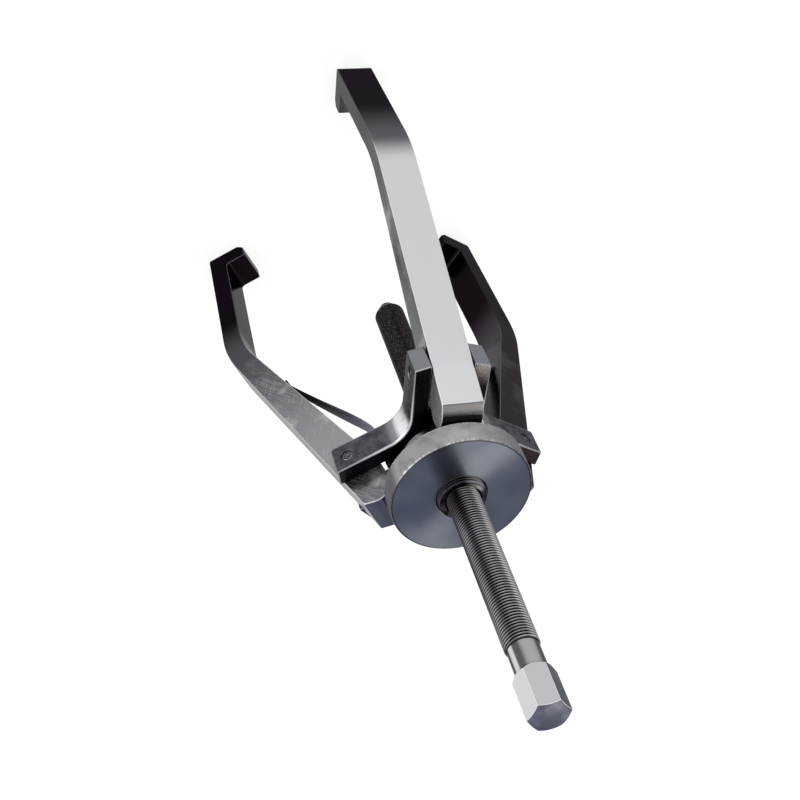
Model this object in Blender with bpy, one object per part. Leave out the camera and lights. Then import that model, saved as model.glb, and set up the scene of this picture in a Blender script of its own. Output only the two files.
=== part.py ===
"""Self-centring three-arm bearing puller, standing on its three claws.

The spindle lies on the Z axis and the origin is the middle of the flat at the tip of its nose.
A forged spider carries three arms on pivot pins. The tails of the arms lie on a cone that the
knurled nut carries along a threaded sleeve, so all three arms swing together. A leaf spring on
each side of the hub holds its arm out and its tail on the cone. The spindle runs through the
sleeve and pushes on the shaft with a nose that doesn't turn.

Sizes are in millimetres and become metres where a mesh or an object is made.
"""

import math

import bmesh
import bpy
from mathutils import Matrix, Vector

MM = 0.001

# Fits
GAP = 0.3               # between pieces that touch or run in each other
ARM_SIDE_GAP = 0.35     # between an arm and each cheek of its fork
STOP_GAP = 0.4          # between the tails and the front of the nut, with the claws fully in

# Arms: each is drawn in the plane of its swing, from its pivot pin
ARM_ANGLES = {"a": 270.0, "b": 30.0, "c": 150.0}
PIVOT_RADIUS = 52.8
PIVOT_HEIGHT = 139.8
ARM_WIDTH = 25.0
ARM_OUTER_OFFSET = 12.6
ARM_INNER_OFFSET = 13.3
ARM_OUTER_LEAN = 17.6
ARM_INNER_LEAN = 21.0
ARM_BEND_DROP = 160.2
ARM_END_DROP = 277.8
ARM_END_LEAN = -2.4
ARM_END_THICKNESS = 13.4
BEND_RADIUS_OUTER = 105.0
BEND_RADIUS_INNER = 90.0
TAIL_RADIUS = 12.4
TAIL_CENTRE = (-7.8, 24.2)
TAIL_TOP_SLOPE = 35.0
TAIL_WAIST = 15.6
CLAW_OVERHANG = 15.5
CLAW_THICKNESS = 14.0
CLAW_TIP_THICKNESS = 10.0
CLAW_FILLET = 3.0
ARM_EDGE = 0.6

# Pivot pins
PIN_DIAMETER = 7.0
PIN_RECESS = 0.8
PIN_CHAMFER = 0.5

# Spider
CHEEK_THICKNESS = 10.3
SPIDER_DEPTH = 21.4
CHEEK_REACH = 8.6
VALLEY_RADIUS = 21.0
SLOT_DEPTH = 21.3
SLOT_FILLET = 3.0
CHEEK_CORNER = 2.2
SPIDER_EDGE = 0.9

# Threaded sleeve
SLEEVE_DIAMETER = 29.6
SLEEVE_PROUD = 4.3
SLEEVE_FLANGE_DIAMETER = 42.0
SLEEVE_FLANGE_THICKNESS = 5.0
SLEEVE_CHAMFER = 1.0
SLEEVE_END_CHAMFER = 2.0
SLEEVE_MOUTH = 1.1

# Screw that keys the sleeve to the hub
LOCK_SCREW_DIAMETER = 6.0
LOCK_SCREW_RECESS = 2.0
LOCK_SCREW_SLOT = (1.2, 1.6)

# Knurled nut, with the boss that carries the cone
NUT_RIM_INSET = 1.9     # how far inside the crowns of the tails its rim stays
NUT_THICKNESS = 16.2
NUT_RIM_CHAMFER = 0.8
NUT_BORE_CHAMFER = 0.8
BOSS_WALL = 4.9
BOSS_LIP = 1.6

# Cone, its washer and its snap ring
CONE_HALF_ANGLE = 20.0
CONE_LENGTH = 16.5
CONE_EDGE = 0.8
WASHER_THICKNESS = 1.5
WASHER_LIP = 6.0
RING_THICKNESS = 1.5
RING_WIDTH = 3.6
RING_GROOVE = 1.4
RING_OPENING = 34.0
RING_TURN = 90.0

# Leaf springs and their screws
SPRING_THICKNESS = 1.3
SPRING_ROOT_WIDTH = 12.5
SPRING_TIP_WIDTH = 5.5
SPRING_TAPER_DROP = 56.0
SPRING_FOOT = 17.0
SPRING_REACH = 113.5
SPRING_ROOT_PULL = 30.0
SPRING_TIP_PULL = 80.0
SPRING_TIP_LEAN = 28.0
SPRING_CURL_RADIUS = 4.0
SPRING_CURL_ANGLE = 65.0
SPRING_SCREW_DIAMETER = 5.0
SPRING_SCREW_GRIP = 5.5
SPRING_HEAD_DIAMETER = 8.6
SPRING_HEAD_HEIGHT = 2.4
SPRING_HEAD_SLOT = (1.2, 1.3)

# Spindle
SPINDLE_DIAMETER = 20.0
THREAD_TOP_HEIGHT = 312.8
SHANK_DIAMETER = 18.2
SHANK_LENGTH = 17.0
HEX_ACROSS_FLATS = 21.0
HEX_LENGTH = 28.8
HEX_END_RADIUS = 8.8
HEX_END_CHAMFER = 2.0
HEX_FOOT_RADIUS = 9.9
HEX_FOOT_CHAMFER = 3.0
HEX_TURN = 9.75
THREAD_CHAMFER = 1.2

# Nose
NOSE_LENGTH = 93.0
NOSE_TIP_RADIUS = 4.5
NOSE_TIP_HALF_ANGLE = 30.0
NOSE_EDGE = 0.8
SOCKET_DIAMETER = 12.6
SOCKET_DEPTH = 24.0
BALL_DIAMETER = 9.0
NOSE_PIN_DIAMETER = 3.0
NOSE_PIN_SINK = 1.7
NOSE_PIN_DEPTH = 5.5
GROOVE_CLEARANCE = 0.4

ROUND = 48
SMALL_ROUND = 20
ARC_STEP = 6.0


def clear_objects():
    for old in list(bpy.data.objects):
        bpy.data.objects.remove(old, do_unlink=True)


def make_material(name, colour, roughness, metallic=1.0):
    finish = bpy.data.materials.new(name)
    finish.use_nodes = True
    shader = finish.node_tree.nodes["Principled BSDF"]
    shader.inputs["Base Color"].default_value = (*colour, 1.0)
    shader.inputs["Roughness"].default_value = roughness
    shader.inputs["Metallic"].default_value = metallic
    return finish


def point_at(centre, radius, degrees):
    """The point on a circle at an angle in degrees."""
    angle = math.radians(degrees)
    return (centre[0] + radius * math.cos(angle), centre[1] + radius * math.sin(angle))


def arc(centre, radius, start, end):
    """Points on a circle from one angle in degrees to another, both ends included."""
    steps = max(2, math.ceil(abs(end - start) / ARC_STEP))
    return [
        point_at(centre, radius, start + (end - start) * step / steps)
        for step in range(steps + 1)
    ]


def crossing(point, direction, other, other_direction):
    """Where two lines in a plane cross."""
    cross = direction[0] * other_direction[1] - direction[1] * other_direction[0]
    along = (
        (other[0] - point[0]) * other_direction[1] - (other[1] - point[1]) * other_direction[0]
    ) / cross
    return (point[0] + along * direction[0], point[1] + along * direction[1])


def fillet(before, corner, after, radius):
    """The arc of this radius that touches both sides of a corner."""
    here = Vector(corner)
    back = (Vector(before) - here).normalized()
    on = (Vector(after) - here).normalized()
    half = back.angle(on) / 2
    centre = here + (back + on).normalized() * (radius / math.sin(half))
    touch = radius / math.tan(half)
    first = here + back * touch - centre
    last = here + on * touch - centre
    start = math.degrees(math.atan2(first.y, first.x))
    sweep = math.degrees(math.atan2(last.y, last.x)) - start
    sweep = (sweep + 180.0) % 360.0 - 180.0
    return arc(tuple(centre), radius, start, start + sweep)


def rounded(outline, radii):
    """An outline whose named corners are replaced by arcs."""
    points = []
    for index, corner in enumerate(outline):
        if index in radii:
            after = outline[(index + 1) % len(outline)]
            points += fillet(outline[index - 1], corner, after, radii[index])
        else:
            points.append(corner)
    return points


def flat_prism(outline, low, high):
    """An outline in X and Y, drawn up from one height to another."""
    mesh = bmesh.new()
    base = mesh.faces.new([mesh.verts.new((x * MM, y * MM, low * MM)) for x, y in outline])
    raised = bmesh.ops.extrude_face_region(mesh, geom=[base])["geom"]
    moved = [part for part in raised if isinstance(part, bmesh.types.BMVert)]
    bmesh.ops.translate(mesh, verts=moved, vec=(0.0, 0.0, (high - low) * MM))
    bmesh.ops.recalc_face_normals(mesh, faces=mesh.faces)
    return mesh


def side_prism(outline, width):
    """An outline in the swing plane of an arm, given its width across that plane."""
    mesh = flat_prism(outline, -width / 2, width / 2)
    mesh.transform(Matrix.Rotation(math.radians(90.0), 4, "X"))
    return mesh


def turned(profile, count=ROUND):
    """A closed outline of radius and height, spun about the Z axis."""
    mesh = bmesh.new()
    ring = [mesh.verts.new((radius * MM, 0.0, height * MM)) for radius, height in profile]
    edges = [mesh.edges.new((ring[index - 1], ring[index])) for index in range(len(ring))]
    bmesh.ops.spin(
        mesh,
        geom=ring + edges,
        cent=(0.0, 0.0, 0.0),
        axis=(0.0, 0.0, 1.0),
        angle=math.tau,
        steps=count,
        use_merge=True,
    )
    bmesh.ops.remove_doubles(mesh, verts=mesh.verts, dist=1e-7)
    bmesh.ops.dissolve_degenerate(mesh, edges=mesh.edges, dist=1e-8)
    bmesh.ops.recalc_face_normals(mesh, faces=mesh.faces)
    return mesh


def rod(radius, low, high, chamfer=0.0, count=SMALL_ROUND):
    profile = [(0.0, low), (radius - chamfer, low), (radius, low + chamfer)]
    profile += [(radius, high - chamfer), (radius - chamfer, high), (0.0, high)]
    if chamfer == 0.0:
        profile = [(0.0, low), (radius, low), (radius, high), (0.0, high)]
    return turned(profile, count)


def place(name, mesh, finish, location=(0.0, 0.0, 0.0), turn=0.0, parent=None):
    """Make an object of a mesh, at a place in millimetres and turned about Z in degrees."""
    data = bpy.data.meshes.new(name)
    mesh.to_mesh(data)
    mesh.free()
    data.shade_smooth()
    data.set_sharp_from_angle(angle=math.radians(35.0))
    if finish is not None:
        data.materials.append(finish)
    piece = bpy.data.objects.new(name, data)
    bpy.context.collection.objects.link(piece)
    piece.location = Vector(location) * MM
    piece.rotation_euler = (0.0, 0.0, math.radians(turn))
    piece.parent = parent
    return piece


def tool(name, mesh, location=(0.0, 0.0, 0.0), turn=0.0, parent=None):
    """A shape that only cuts or joins, left out of the finished part."""
    shape = place(name, mesh, None, location, turn, parent)
    shape.hide_render = True
    shape.display_type = "WIRE"
    return shape


def combine(piece, other, operation):
    step = piece.modifiers.new(operation.title(), "BOOLEAN")
    step.operation = operation
    step.solver = "EXACT"
    step.object = other


def soften(piece, width, segments=1):
    """Break the sharp edges of a piece."""
    step = piece.modifiers.new("Edges", "BEVEL")
    step.width = width * MM
    step.segments = segments
    step.limit_method = "ANGLE"
    step.angle_limit = math.radians(50.0)
    step.use_clamp_overlap = True


def arm_frame(letter):
    """An empty on the pivot of one arm, with X pointing away from the spindle."""
    angle = math.radians(ARM_ANGLES[letter])
    frame = bpy.data.objects.new(f"pivot_{letter}", None)
    bpy.context.collection.objects.link(frame)
    frame.location = (
        Vector((math.cos(angle) * PIVOT_RADIUS, math.sin(angle) * PIVOT_RADIUS, PIVOT_HEIGHT)) * MM
    )
    frame.rotation_euler = (0.0, 0.0, angle)
    return frame


# Heights above the pivots, and the sizes that pieces share
SLOT_WIDTH = ARM_WIDTH + 2 * ARM_SIDE_GAP
FORK_WIDTH = SLOT_WIDTH + 2 * CHEEK_THICKNESS
SLEEVE_BORE = SPINDLE_DIAMETER / 2 + GAP
HUB_BORE = SLEEVE_DIAMETER / 2 + GAP
SLOT_FLOOR = PIVOT_RADIUS - SLOT_DEPTH
HUB_WALL = SLOT_FLOOR - HUB_BORE
SPIDER_RADIUS = math.hypot(PIVOT_RADIUS + CHEEK_REACH, FORK_WIDTH / 2)
NUT_RADIUS = PIVOT_RADIUS + TAIL_CENTRE[0] - NUT_RIM_INSET
NUT_FRONT = TAIL_CENTRE[1] + TAIL_RADIUS + STOP_GAP
NUT_REAR = NUT_FRONT + NUT_THICKNESS
WASHER_LOW = NUT_FRONT - GAP - WASHER_THICKNESS
CONE_TOP = WASHER_LOW - GAP
CONE_FOOT = CONE_TOP - CONE_LENGTH
RING_TOP = CONE_FOOT - GAP
RING_LOW = RING_TOP - RING_THICKNESS
BOSS_FOOT = RING_LOW - GAP - BOSS_LIP
BOSS_RADIUS = HUB_BORE + BOSS_WALL
CONE_BORE = BOSS_RADIUS + GAP


def arm_outline():
    """The arm seen along its pivot pin: tail, straight shank, bend and claw."""
    outer_way = (math.sin(math.radians(ARM_OUTER_LEAN)), -math.cos(math.radians(ARM_OUTER_LEAN)))
    inner_way = (math.sin(math.radians(ARM_INNER_LEAN)), -math.cos(math.radians(ARM_INNER_LEAN)))
    end_way = (math.sin(math.radians(ARM_END_LEAN)), -math.cos(math.radians(ARM_END_LEAN)))
    level = (1.0, 0.0)
    outer = (ARM_OUTER_OFFSET, 0.0)
    inner = (-ARM_INNER_OFFSET, 0.0)

    bend_outer = crossing(outer, outer_way, (0.0, -ARM_BEND_DROP), level)
    end_outer = crossing(bend_outer, end_way, (0.0, -ARM_END_DROP), level)
    grip_height = CLAW_THICKNESS - ARM_END_DROP
    end_inner = (end_outer[0] - ARM_END_THICKNESS, -ARM_END_DROP)
    bend_inner = crossing(inner, inner_way, end_inner, end_way)
    claw_root = crossing(end_inner, end_way, (0.0, grip_height), level)
    claw_tip = claw_root[0] - CLAW_OVERHANG

    top_start = point_at(TAIL_CENTRE, TAIL_RADIUS, 90.0 - TAIL_TOP_SLOPE)
    slope = math.radians(-TAIL_TOP_SLOPE)
    tail_corner = crossing(top_start, (math.cos(slope), math.sin(slope)), outer, outer_way)
    waist_drop = math.sqrt(TAIL_RADIUS**2 - (TAIL_WAIST + TAIL_CENTRE[0]) ** 2)
    waist_top = (-TAIL_WAIST, TAIL_CENTRE[1] - waist_drop)
    waist_foot = crossing(inner, inner_way, waist_top, (0.0, 1.0))
    meets = 180.0 + math.degrees(math.asin(waist_drop / TAIL_RADIUS))

    points = [tail_corner]
    points += arc(TAIL_CENTRE, TAIL_RADIUS, 90.0 - TAIL_TOP_SLOPE, meets)
    points.append(waist_foot)
    points += fillet(waist_foot, bend_inner, claw_root, BEND_RADIUS_INNER)
    points += fillet(bend_inner, claw_root, (claw_tip, grip_height), CLAW_FILLET)
    points.append((claw_tip, grip_height))
    points.append((claw_tip, grip_height - CLAW_TIP_THICKNESS))
    points.append((claw_tip + CLAW_THICKNESS - CLAW_TIP_THICKNESS, -ARM_END_DROP))
    points.append(end_outer)
    points += fillet(end_outer, bend_outer, tail_corner, BEND_RADIUS_OUTER)
    return points


def make_arms(frames, finish):
    """Forged bars of one width, cut to a hook at one end and a full round at the other."""
    for letter, frame in frames.items():
        arm = place(f"arm_{letter}", side_prism(arm_outline(), ARM_WIDTH), finish, parent=frame)
        soften(arm, ARM_EDGE)
        hole = rod(PIN_DIAMETER / 2 + GAP, -ARM_WIDTH, ARM_WIDTH)
        hole.transform(Matrix.Rotation(math.radians(90.0), 4, "X"))
        combine(arm, tool(f"arm_hole_{letter}", hole, parent=frame), "DIFFERENCE")


def make_pivot_pins(frames, finish):
    """Plain chamfered pins, a little below the face of the cheek at each end."""
    half = FORK_WIDTH / 2 - PIN_RECESS
    for letter, frame in frames.items():
        pin = rod(PIN_DIAMETER / 2, -half, half, PIN_CHAMFER)
        pin.transform(Matrix.Rotation(math.radians(90.0), 4, "X"))
        place(f"pivot_pin_{letter}", pin, finish, parent=frame)


def spider_plan():
    """The spider from above: three forks whose outer sides run into each other in wide curves."""
    half_fork = FORK_WIDTH / 2
    half_slot = SLOT_WIDTH / 2
    outer = PIVOT_RADIUS + CHEEK_REACH
    inner = math.sqrt(SPIDER_RADIUS**2 - half_slot**2)
    valley = half_fork / math.sin(math.radians(60.0))
    fork = [
        (outer, -half_fork),
        (inner, -half_slot),
        (SLOT_FLOOR, -half_slot),
        (SLOT_FLOOR, half_slot),
        (inner, half_slot),
        (outer, half_fork),
        (valley * math.cos(math.radians(60.0)), valley * math.sin(math.radians(60.0))),
    ]
    outline = []
    for angle in sorted(ARM_ANGLES.values()):
        turn = Matrix.Rotation(math.radians(angle), 2)
        outline += [tuple(turn @ Vector(point)) for point in fork]
    radii = {}
    for first in range(0, len(outline), len(fork)):
        radii[first + 2] = SLOT_FILLET
        radii[first + 3] = SLOT_FILLET
        radii[first + 6] = VALLEY_RADIUS
    return rounded(outline, radii)


def round_cheek_corners(mesh):
    """Round the lower outer corner of each cheek."""
    low = min(vert.co.z for vert in mesh.verts)
    reach = (SPIDER_RADIUS - GAP) * MM
    chosen = []
    for edge in mesh.edges:
        ends = [vert.co for vert in edge.verts]
        if all(abs(end.z - low) < 1e-6 and end.xy.length > reach for end in ends):
            chosen.append(edge)
    bmesh.ops.bevel(
        mesh, geom=chosen, offset=CHEEK_CORNER * MM, segments=3, profile=0.5, affect="EDGES"
    )


def make_spider(frames, finish):
    """One forging: the hub, and three forks with a cheek on each side of the arm."""
    half = SPIDER_DEPTH / 2
    mesh = flat_prism(spider_plan(), -half, half)
    round_cheek_corners(mesh)
    spider = place("spider", mesh, finish, (0.0, 0.0, PIVOT_HEIGHT))
    soften(spider, SPIDER_EDGE, 2)
    bore = rod(HUB_BORE, -SPIDER_DEPTH, SPIDER_DEPTH, count=ROUND)
    combine(spider, tool("hub_bore", bore, (0.0, 0.0, PIVOT_HEIGHT)), "DIFFERENCE")
    for letter, frame in frames.items():
        hole = rod(PIN_DIAMETER / 2 + GAP, -FORK_WIDTH, FORK_WIDTH)
        hole.transform(Matrix.Rotation(math.radians(90.0), 4, "X"))
        combine(spider, tool(f"cheek_hole_{letter}", hole, parent=frame), "DIFFERENCE")
        tapped = rod(SPRING_SCREW_DIAMETER / 2 + GAP, -SPRING_SCREW_GRIP - GAP, HUB_WALL)
        tapped.transform(Matrix.Rotation(math.radians(90.0), 4, "Y"))
        floor = (SLOT_FLOOR - PIVOT_RADIUS, 0.0, 0.0)
        combine(spider, tool(f"spring_hole_{letter}", tapped, floor, parent=frame), "DIFFERENCE")
    cross = rod(LOCK_SCREW_DIAMETER / 2 + GAP, 0.0, PIVOT_RADIUS)
    cross.transform(Matrix.Rotation(math.radians(-90.0), 4, "X"))
    combine(spider, tool("lock_hole", cross, (0.0, 0.0, PIVOT_HEIGHT)), "DIFFERENCE")


def valley_floor():
    """How far from the spindle the outside of the spider is, midway between two forks."""
    corner = FORK_WIDTH / 2 / math.sin(math.radians(60.0))
    return corner + VALLEY_RADIUS * (1.0 / math.sin(math.radians(60.0)) - 1.0)


def make_lock_screw(finish):
    """A slotted grub screw through the hub that keeps the sleeve from turning."""
    start = SLEEVE_DIAMETER / 2 + GAP
    end = valley_floor() - LOCK_SCREW_RECESS
    screw = rod(LOCK_SCREW_DIAMETER / 2, 0.0, end - start, PIN_CHAMFER)
    screw.transform(Matrix.Rotation(math.radians(-90.0), 4, "X"))
    piece = place("sleeve_lock_screw", screw, finish, (0.0, start, PIVOT_HEIGHT))
    width, depth = LOCK_SCREW_SLOT
    slot = flat_prism(
        [(-LOCK_SCREW_DIAMETER, end - depth), (LOCK_SCREW_DIAMETER, end - depth),
         (LOCK_SCREW_DIAMETER, end + depth), (-LOCK_SCREW_DIAMETER, end + depth)],
        -width / 2,
        width / 2,
    )
    combine(piece, tool("lock_slot", slot, (0.0, 0.0, PIVOT_HEIGHT)), "DIFFERENCE")


def make_sleeve(finish):
    """The sleeve that the spindle and the nut both run on, with a flange below the hub."""
    radius = SLEEVE_DIAMETER / 2
    top = NUT_REAR + SLEEVE_PROUD
    flange_top = -SPIDER_DEPTH / 2 - GAP
    flange_foot = flange_top - SLEEVE_FLANGE_THICKNESS
    flange = SLEEVE_FLANGE_DIAMETER / 2
    profile = [
        (SLEEVE_BORE + SLEEVE_MOUTH, top),
        (radius - SLEEVE_END_CHAMFER, top),
        (radius, top - SLEEVE_END_CHAMFER),
        (radius, flange_top),
        (flange - SLEEVE_CHAMFER, flange_top),
        (flange, flange_top - SLEEVE_CHAMFER),
        (flange, flange_foot + SLEEVE_CHAMFER),
        (flange - SLEEVE_CHAMFER, flange_foot),
        (SLEEVE_BORE + SLEEVE_MOUTH, flange_foot),
        (SLEEVE_BORE, flange_foot + SLEEVE_MOUTH),
        (SLEEVE_BORE, top - SLEEVE_MOUTH),
    ]
    place("threaded_sleeve", turned(profile), finish, (0.0, 0.0, PIVOT_HEIGHT))


def make_knurled_nut(finish):
    """A thick disc that is turned by hand, with a grooved boss on its front."""
    radius = NUT_RADIUS
    chamfer = NUT_RIM_CHAMFER
    profile = [
        (HUB_BORE + NUT_BORE_CHAMFER, NUT_REAR),
        (radius - chamfer, NUT_REAR),
        (radius, NUT_REAR - chamfer),
        (radius, NUT_FRONT + chamfer),
        (radius - chamfer, NUT_FRONT),
        (BOSS_RADIUS, NUT_FRONT),
        (BOSS_RADIUS, RING_TOP + GAP),
        (BOSS_RADIUS - RING_GROOVE - GAP, RING_TOP + GAP),
        (BOSS_RADIUS - RING_GROOVE - GAP, RING_LOW - GAP),
        (BOSS_RADIUS, RING_LOW - GAP),
        (BOSS_RADIUS, BOSS_FOOT),
        (HUB_BORE, BOSS_FOOT),
        (HUB_BORE, NUT_REAR - NUT_BORE_CHAMFER),
    ]
    place("knurled_nut", turned(profile), finish, (0.0, 0.0, PIVOT_HEIGHT))


def cone_radius(height):
    """The cone lies one gap away from the round of the tails."""
    half = math.radians(CONE_HALF_ANGLE)
    tail_radius = PIVOT_RADIUS + TAIL_CENTRE[0]
    reach = tail_radius * math.cos(half) - TAIL_CENTRE[1] * math.sin(half) - TAIL_RADIUS - GAP
    return (reach + height * math.sin(half)) / math.cos(half)


def make_cone(finish):
    """The hardened ring that the tails ride on. It slides with the nut and doesn't turn."""
    edge = CONE_EDGE
    profile = [
        (CONE_BORE, CONE_TOP),
        (cone_radius(CONE_TOP) - edge, CONE_TOP),
        (cone_radius(CONE_TOP - edge), CONE_TOP - edge),
        (cone_radius(CONE_FOOT + edge), CONE_FOOT + edge),
        (cone_radius(CONE_FOOT) - edge, CONE_FOOT),
        (CONE_BORE, CONE_FOOT),
    ]
    place("thrust_cone", turned(profile), finish, (0.0, 0.0, PIVOT_HEIGHT))


def make_washer(finish):
    """The flat ring between the turning nut and the cone."""
    profile = [
        (CONE_BORE, WASHER_LOW + WASHER_THICKNESS),
        (CONE_BORE, WASHER_LOW),
        (CONE_BORE + WASHER_LIP, WASHER_LOW),
        (CONE_BORE + WASHER_LIP, WASHER_LOW + WASHER_THICKNESS),
    ]
    place("cone_washer", turned(profile), finish, (0.0, 0.0, PIVOT_HEIGHT))


def make_snap_ring(finish):
    """The open ring in the groove of the boss that keeps the cone on it."""
    inner = BOSS_RADIUS - RING_GROOVE
    first = RING_OPENING / 2
    last = 360.0 - first
    outline = arc((0.0, 0.0), inner + RING_WIDTH, first, last)
    outline += arc((0.0, 0.0), inner, last, first)
    ring = flat_prism(outline, RING_LOW, RING_TOP)
    place("cone_snap_ring", ring, finish, (0.0, 0.0, PIVOT_HEIGHT), RING_TURN)


def spring_line():
    """The middle of a leaf spring in the swing plane: foot, bowed blade and curled tip."""
    lean = math.radians(ARM_INNER_LEAN)
    foot = SLOT_FLOOR - PIVOT_RADIUS + GAP + SPRING_THICKNESS / 2
    start = Vector((foot, -SPRING_FOOT / 2))
    touch = -ARM_INNER_OFFSET + SPRING_REACH * math.tan(lean)
    end = Vector((touch - (GAP + SPRING_THICKNESS / 2) / math.cos(lean), -SPRING_REACH))
    tip_lean = math.radians(SPRING_TIP_LEAN)
    way = Vector((math.sin(tip_lean), -math.cos(tip_lean)))
    first = start + Vector((0.0, -SPRING_ROOT_PULL))
    second = end - way * SPRING_TIP_PULL
    line = [Vector((foot, SPRING_FOOT / 2)), Vector((foot, 0.0))]
    steps = 14
    for step in range(steps + 1):
        t = step / steps
        u = 1.0 - t
        line.append(u**3 * start + 3 * u * u * t * first + 3 * u * t * t * second + t**3 * end)
    side = Vector((way.y, -way.x))
    centre = end + side * SPRING_CURL_RADIUS
    for step in range(1, 5):
        angle = math.radians(SPRING_CURL_ANGLE * step / 4)
        line.append(
            centre + SPRING_CURL_RADIUS * (way * math.sin(angle) - side * math.cos(angle))
        )
    return line


def spring_blade():
    """A strip of even thickness carried along the line, narrower towards its tip."""
    line = spring_line()
    mesh = bmesh.new()
    rings = []
    for index, point in enumerate(line):
        before = line[max(index - 1, 0)]
        after = line[min(index + 1, len(line) - 1)]
        way = (after - before).normalized()
        side = Vector((way.y, -way.x)) * SPRING_THICKNESS / 2
        share = (-point.y - SPRING_TAPER_DROP) / (SPRING_REACH - SPRING_TAPER_DROP)
        share = min(max(share, 0.0), 1.0)
        half = (SPRING_ROOT_WIDTH + (SPRING_TIP_WIDTH - SPRING_ROOT_WIDTH) * share) / 2
        corners = [(side, -half), (side, half), (-side, half), (-side, -half)]
        rings.append(
            [
                mesh.verts.new(
                    ((point.x + offset.x) * MM, across * MM, (point.y + offset.y) * MM)
                )
                for offset, across in corners
            ]
        )
    for ring, following in zip(rings, rings[1:]):
        for corner in range(4):
            other = (corner + 1) % 4
            mesh.faces.new((ring[corner], ring[other], following[other], following[corner]))
    mesh.faces.new(rings[0])
    mesh.faces.new(rings[-1])
    bmesh.ops.recalc_face_normals(mesh, faces=mesh.faces)
    return mesh


def make_springs(frames, steel, screw_finish):
    """Leaf springs, each screwed flat to the floor of its fork and pressing its arm out."""
    floor = SLOT_FLOOR - PIVOT_RADIUS
    for letter, frame in frames.items():
        spring = place(f"arm_spring_{letter}", spring_blade(), steel, parent=frame)
        hole = rod(SPRING_SCREW_DIAMETER / 2 + GAP, 0.0, HUB_WALL)
        hole.transform(Matrix.Rotation(math.radians(90.0), 4, "Y"))
        place_hole = (floor, 0.0, 0.0)
        combine(
            spring, tool(f"blade_hole_{letter}", hole, place_hole, parent=frame), "DIFFERENCE"
        )
        seat = GAP + SPRING_THICKNESS + GAP
        top = seat + SPRING_HEAD_HEIGHT
        head = SPRING_HEAD_DIAMETER / 2
        shank = SPRING_SCREW_DIAMETER / 2
        profile = [
            (0.0, -SPRING_SCREW_GRIP),
            (shank - PIN_CHAMFER, -SPRING_SCREW_GRIP),
            (shank, PIN_CHAMFER - SPRING_SCREW_GRIP),
            (shank, seat),
            (head, seat),
            (head, top - PIN_CHAMFER),
            (head - PIN_CHAMFER, top),
            (0.0, top),
        ]
        screw = turned(profile, SMALL_ROUND)
        screw.transform(Matrix.Rotation(math.radians(90.0), 4, "Y"))
        piece = place(f"spring_screw_{letter}", screw, screw_finish, place_hole, parent=frame)
        width, depth = SPRING_HEAD_SLOT
        slot = flat_prism(
            [(top - depth, -head * 2), (top + depth, -head * 2),
             (top + depth, head * 2), (top - depth, head * 2)],
            -width / 2,
            width / 2,
        )
        combine(
            piece, tool(f"head_slot_{letter}", slot, place_hole, parent=frame), "DIFFERENCE"
        )


def pilot_end():
    """Height of the end of the spindle's pilot, which rests on the ball in the nose."""
    return NOSE_LENGTH - SOCKET_DEPTH + GAP + BALL_DIAMETER + GAP


def nose_pin_offset():
    return SOCKET_DIAMETER / 2 - GAP - NOSE_PIN_SINK + NOSE_PIN_DIAMETER / 2 + GAP


def make_spindle(finish):
    """The screw, from its pilot in the nose to the hexagon that takes the wrench."""
    radius = SPINDLE_DIAMETER / 2
    pilot = SOCKET_DIAMETER / 2 - GAP
    shoulder = NOSE_LENGTH + GAP
    groove_middle = NOSE_LENGTH - NOSE_PIN_DEPTH
    groove_half = NOSE_PIN_DIAMETER / 2 + GROOVE_CLEARANCE
    groove = pilot - NOSE_PIN_SINK
    shank = SHANK_DIAMETER / 2
    hex_foot = THREAD_TOP_HEIGHT + SHANK_LENGTH
    hex_top = hex_foot + HEX_LENGTH
    core_top = hex_top - HEX_END_CHAMFER * 2
    profile = [
        (0.0, pilot_end()),
        (pilot - PIN_CHAMFER, pilot_end()),
        (pilot, pilot_end() + PIN_CHAMFER),
        (pilot, groove_middle - groove_half),
        (groove, groove_middle - groove_half),
        (groove, groove_middle + groove_half),
        (pilot, groove_middle + groove_half),
        (pilot, shoulder),
        (radius - THREAD_CHAMFER, shoulder),
        (radius, shoulder + THREAD_CHAMFER),
        (radius, THREAD_TOP_HEIGHT - THREAD_CHAMFER),
        (shank, THREAD_TOP_HEIGHT),
        (shank, core_top),
        (0.0, core_top),
    ]
    spindle = place("spindle", turned(profile), finish)
    corner = HEX_ACROSS_FLATS / 2 / math.cos(math.radians(30.0))
    corners = [point_at((0.0, 0.0), corner, HEX_TURN + 60.0 * side) for side in range(6)]
    head = tool("hexagon", flat_prism(corners, hex_foot, hex_top))
    envelope = [
        (0.0, hex_foot),
        (HEX_FOOT_RADIUS, hex_foot),
        (corner + GAP, hex_foot + HEX_FOOT_CHAMFER),
        (corner + GAP, hex_top - HEX_END_CHAMFER),
        (HEX_END_RADIUS, hex_top),
        (0.0, hex_top),
    ]
    combine(head, tool("hexagon_chamfer", turned(envelope)), "INTERSECT")
    combine(spindle, head, "UNION")


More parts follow.
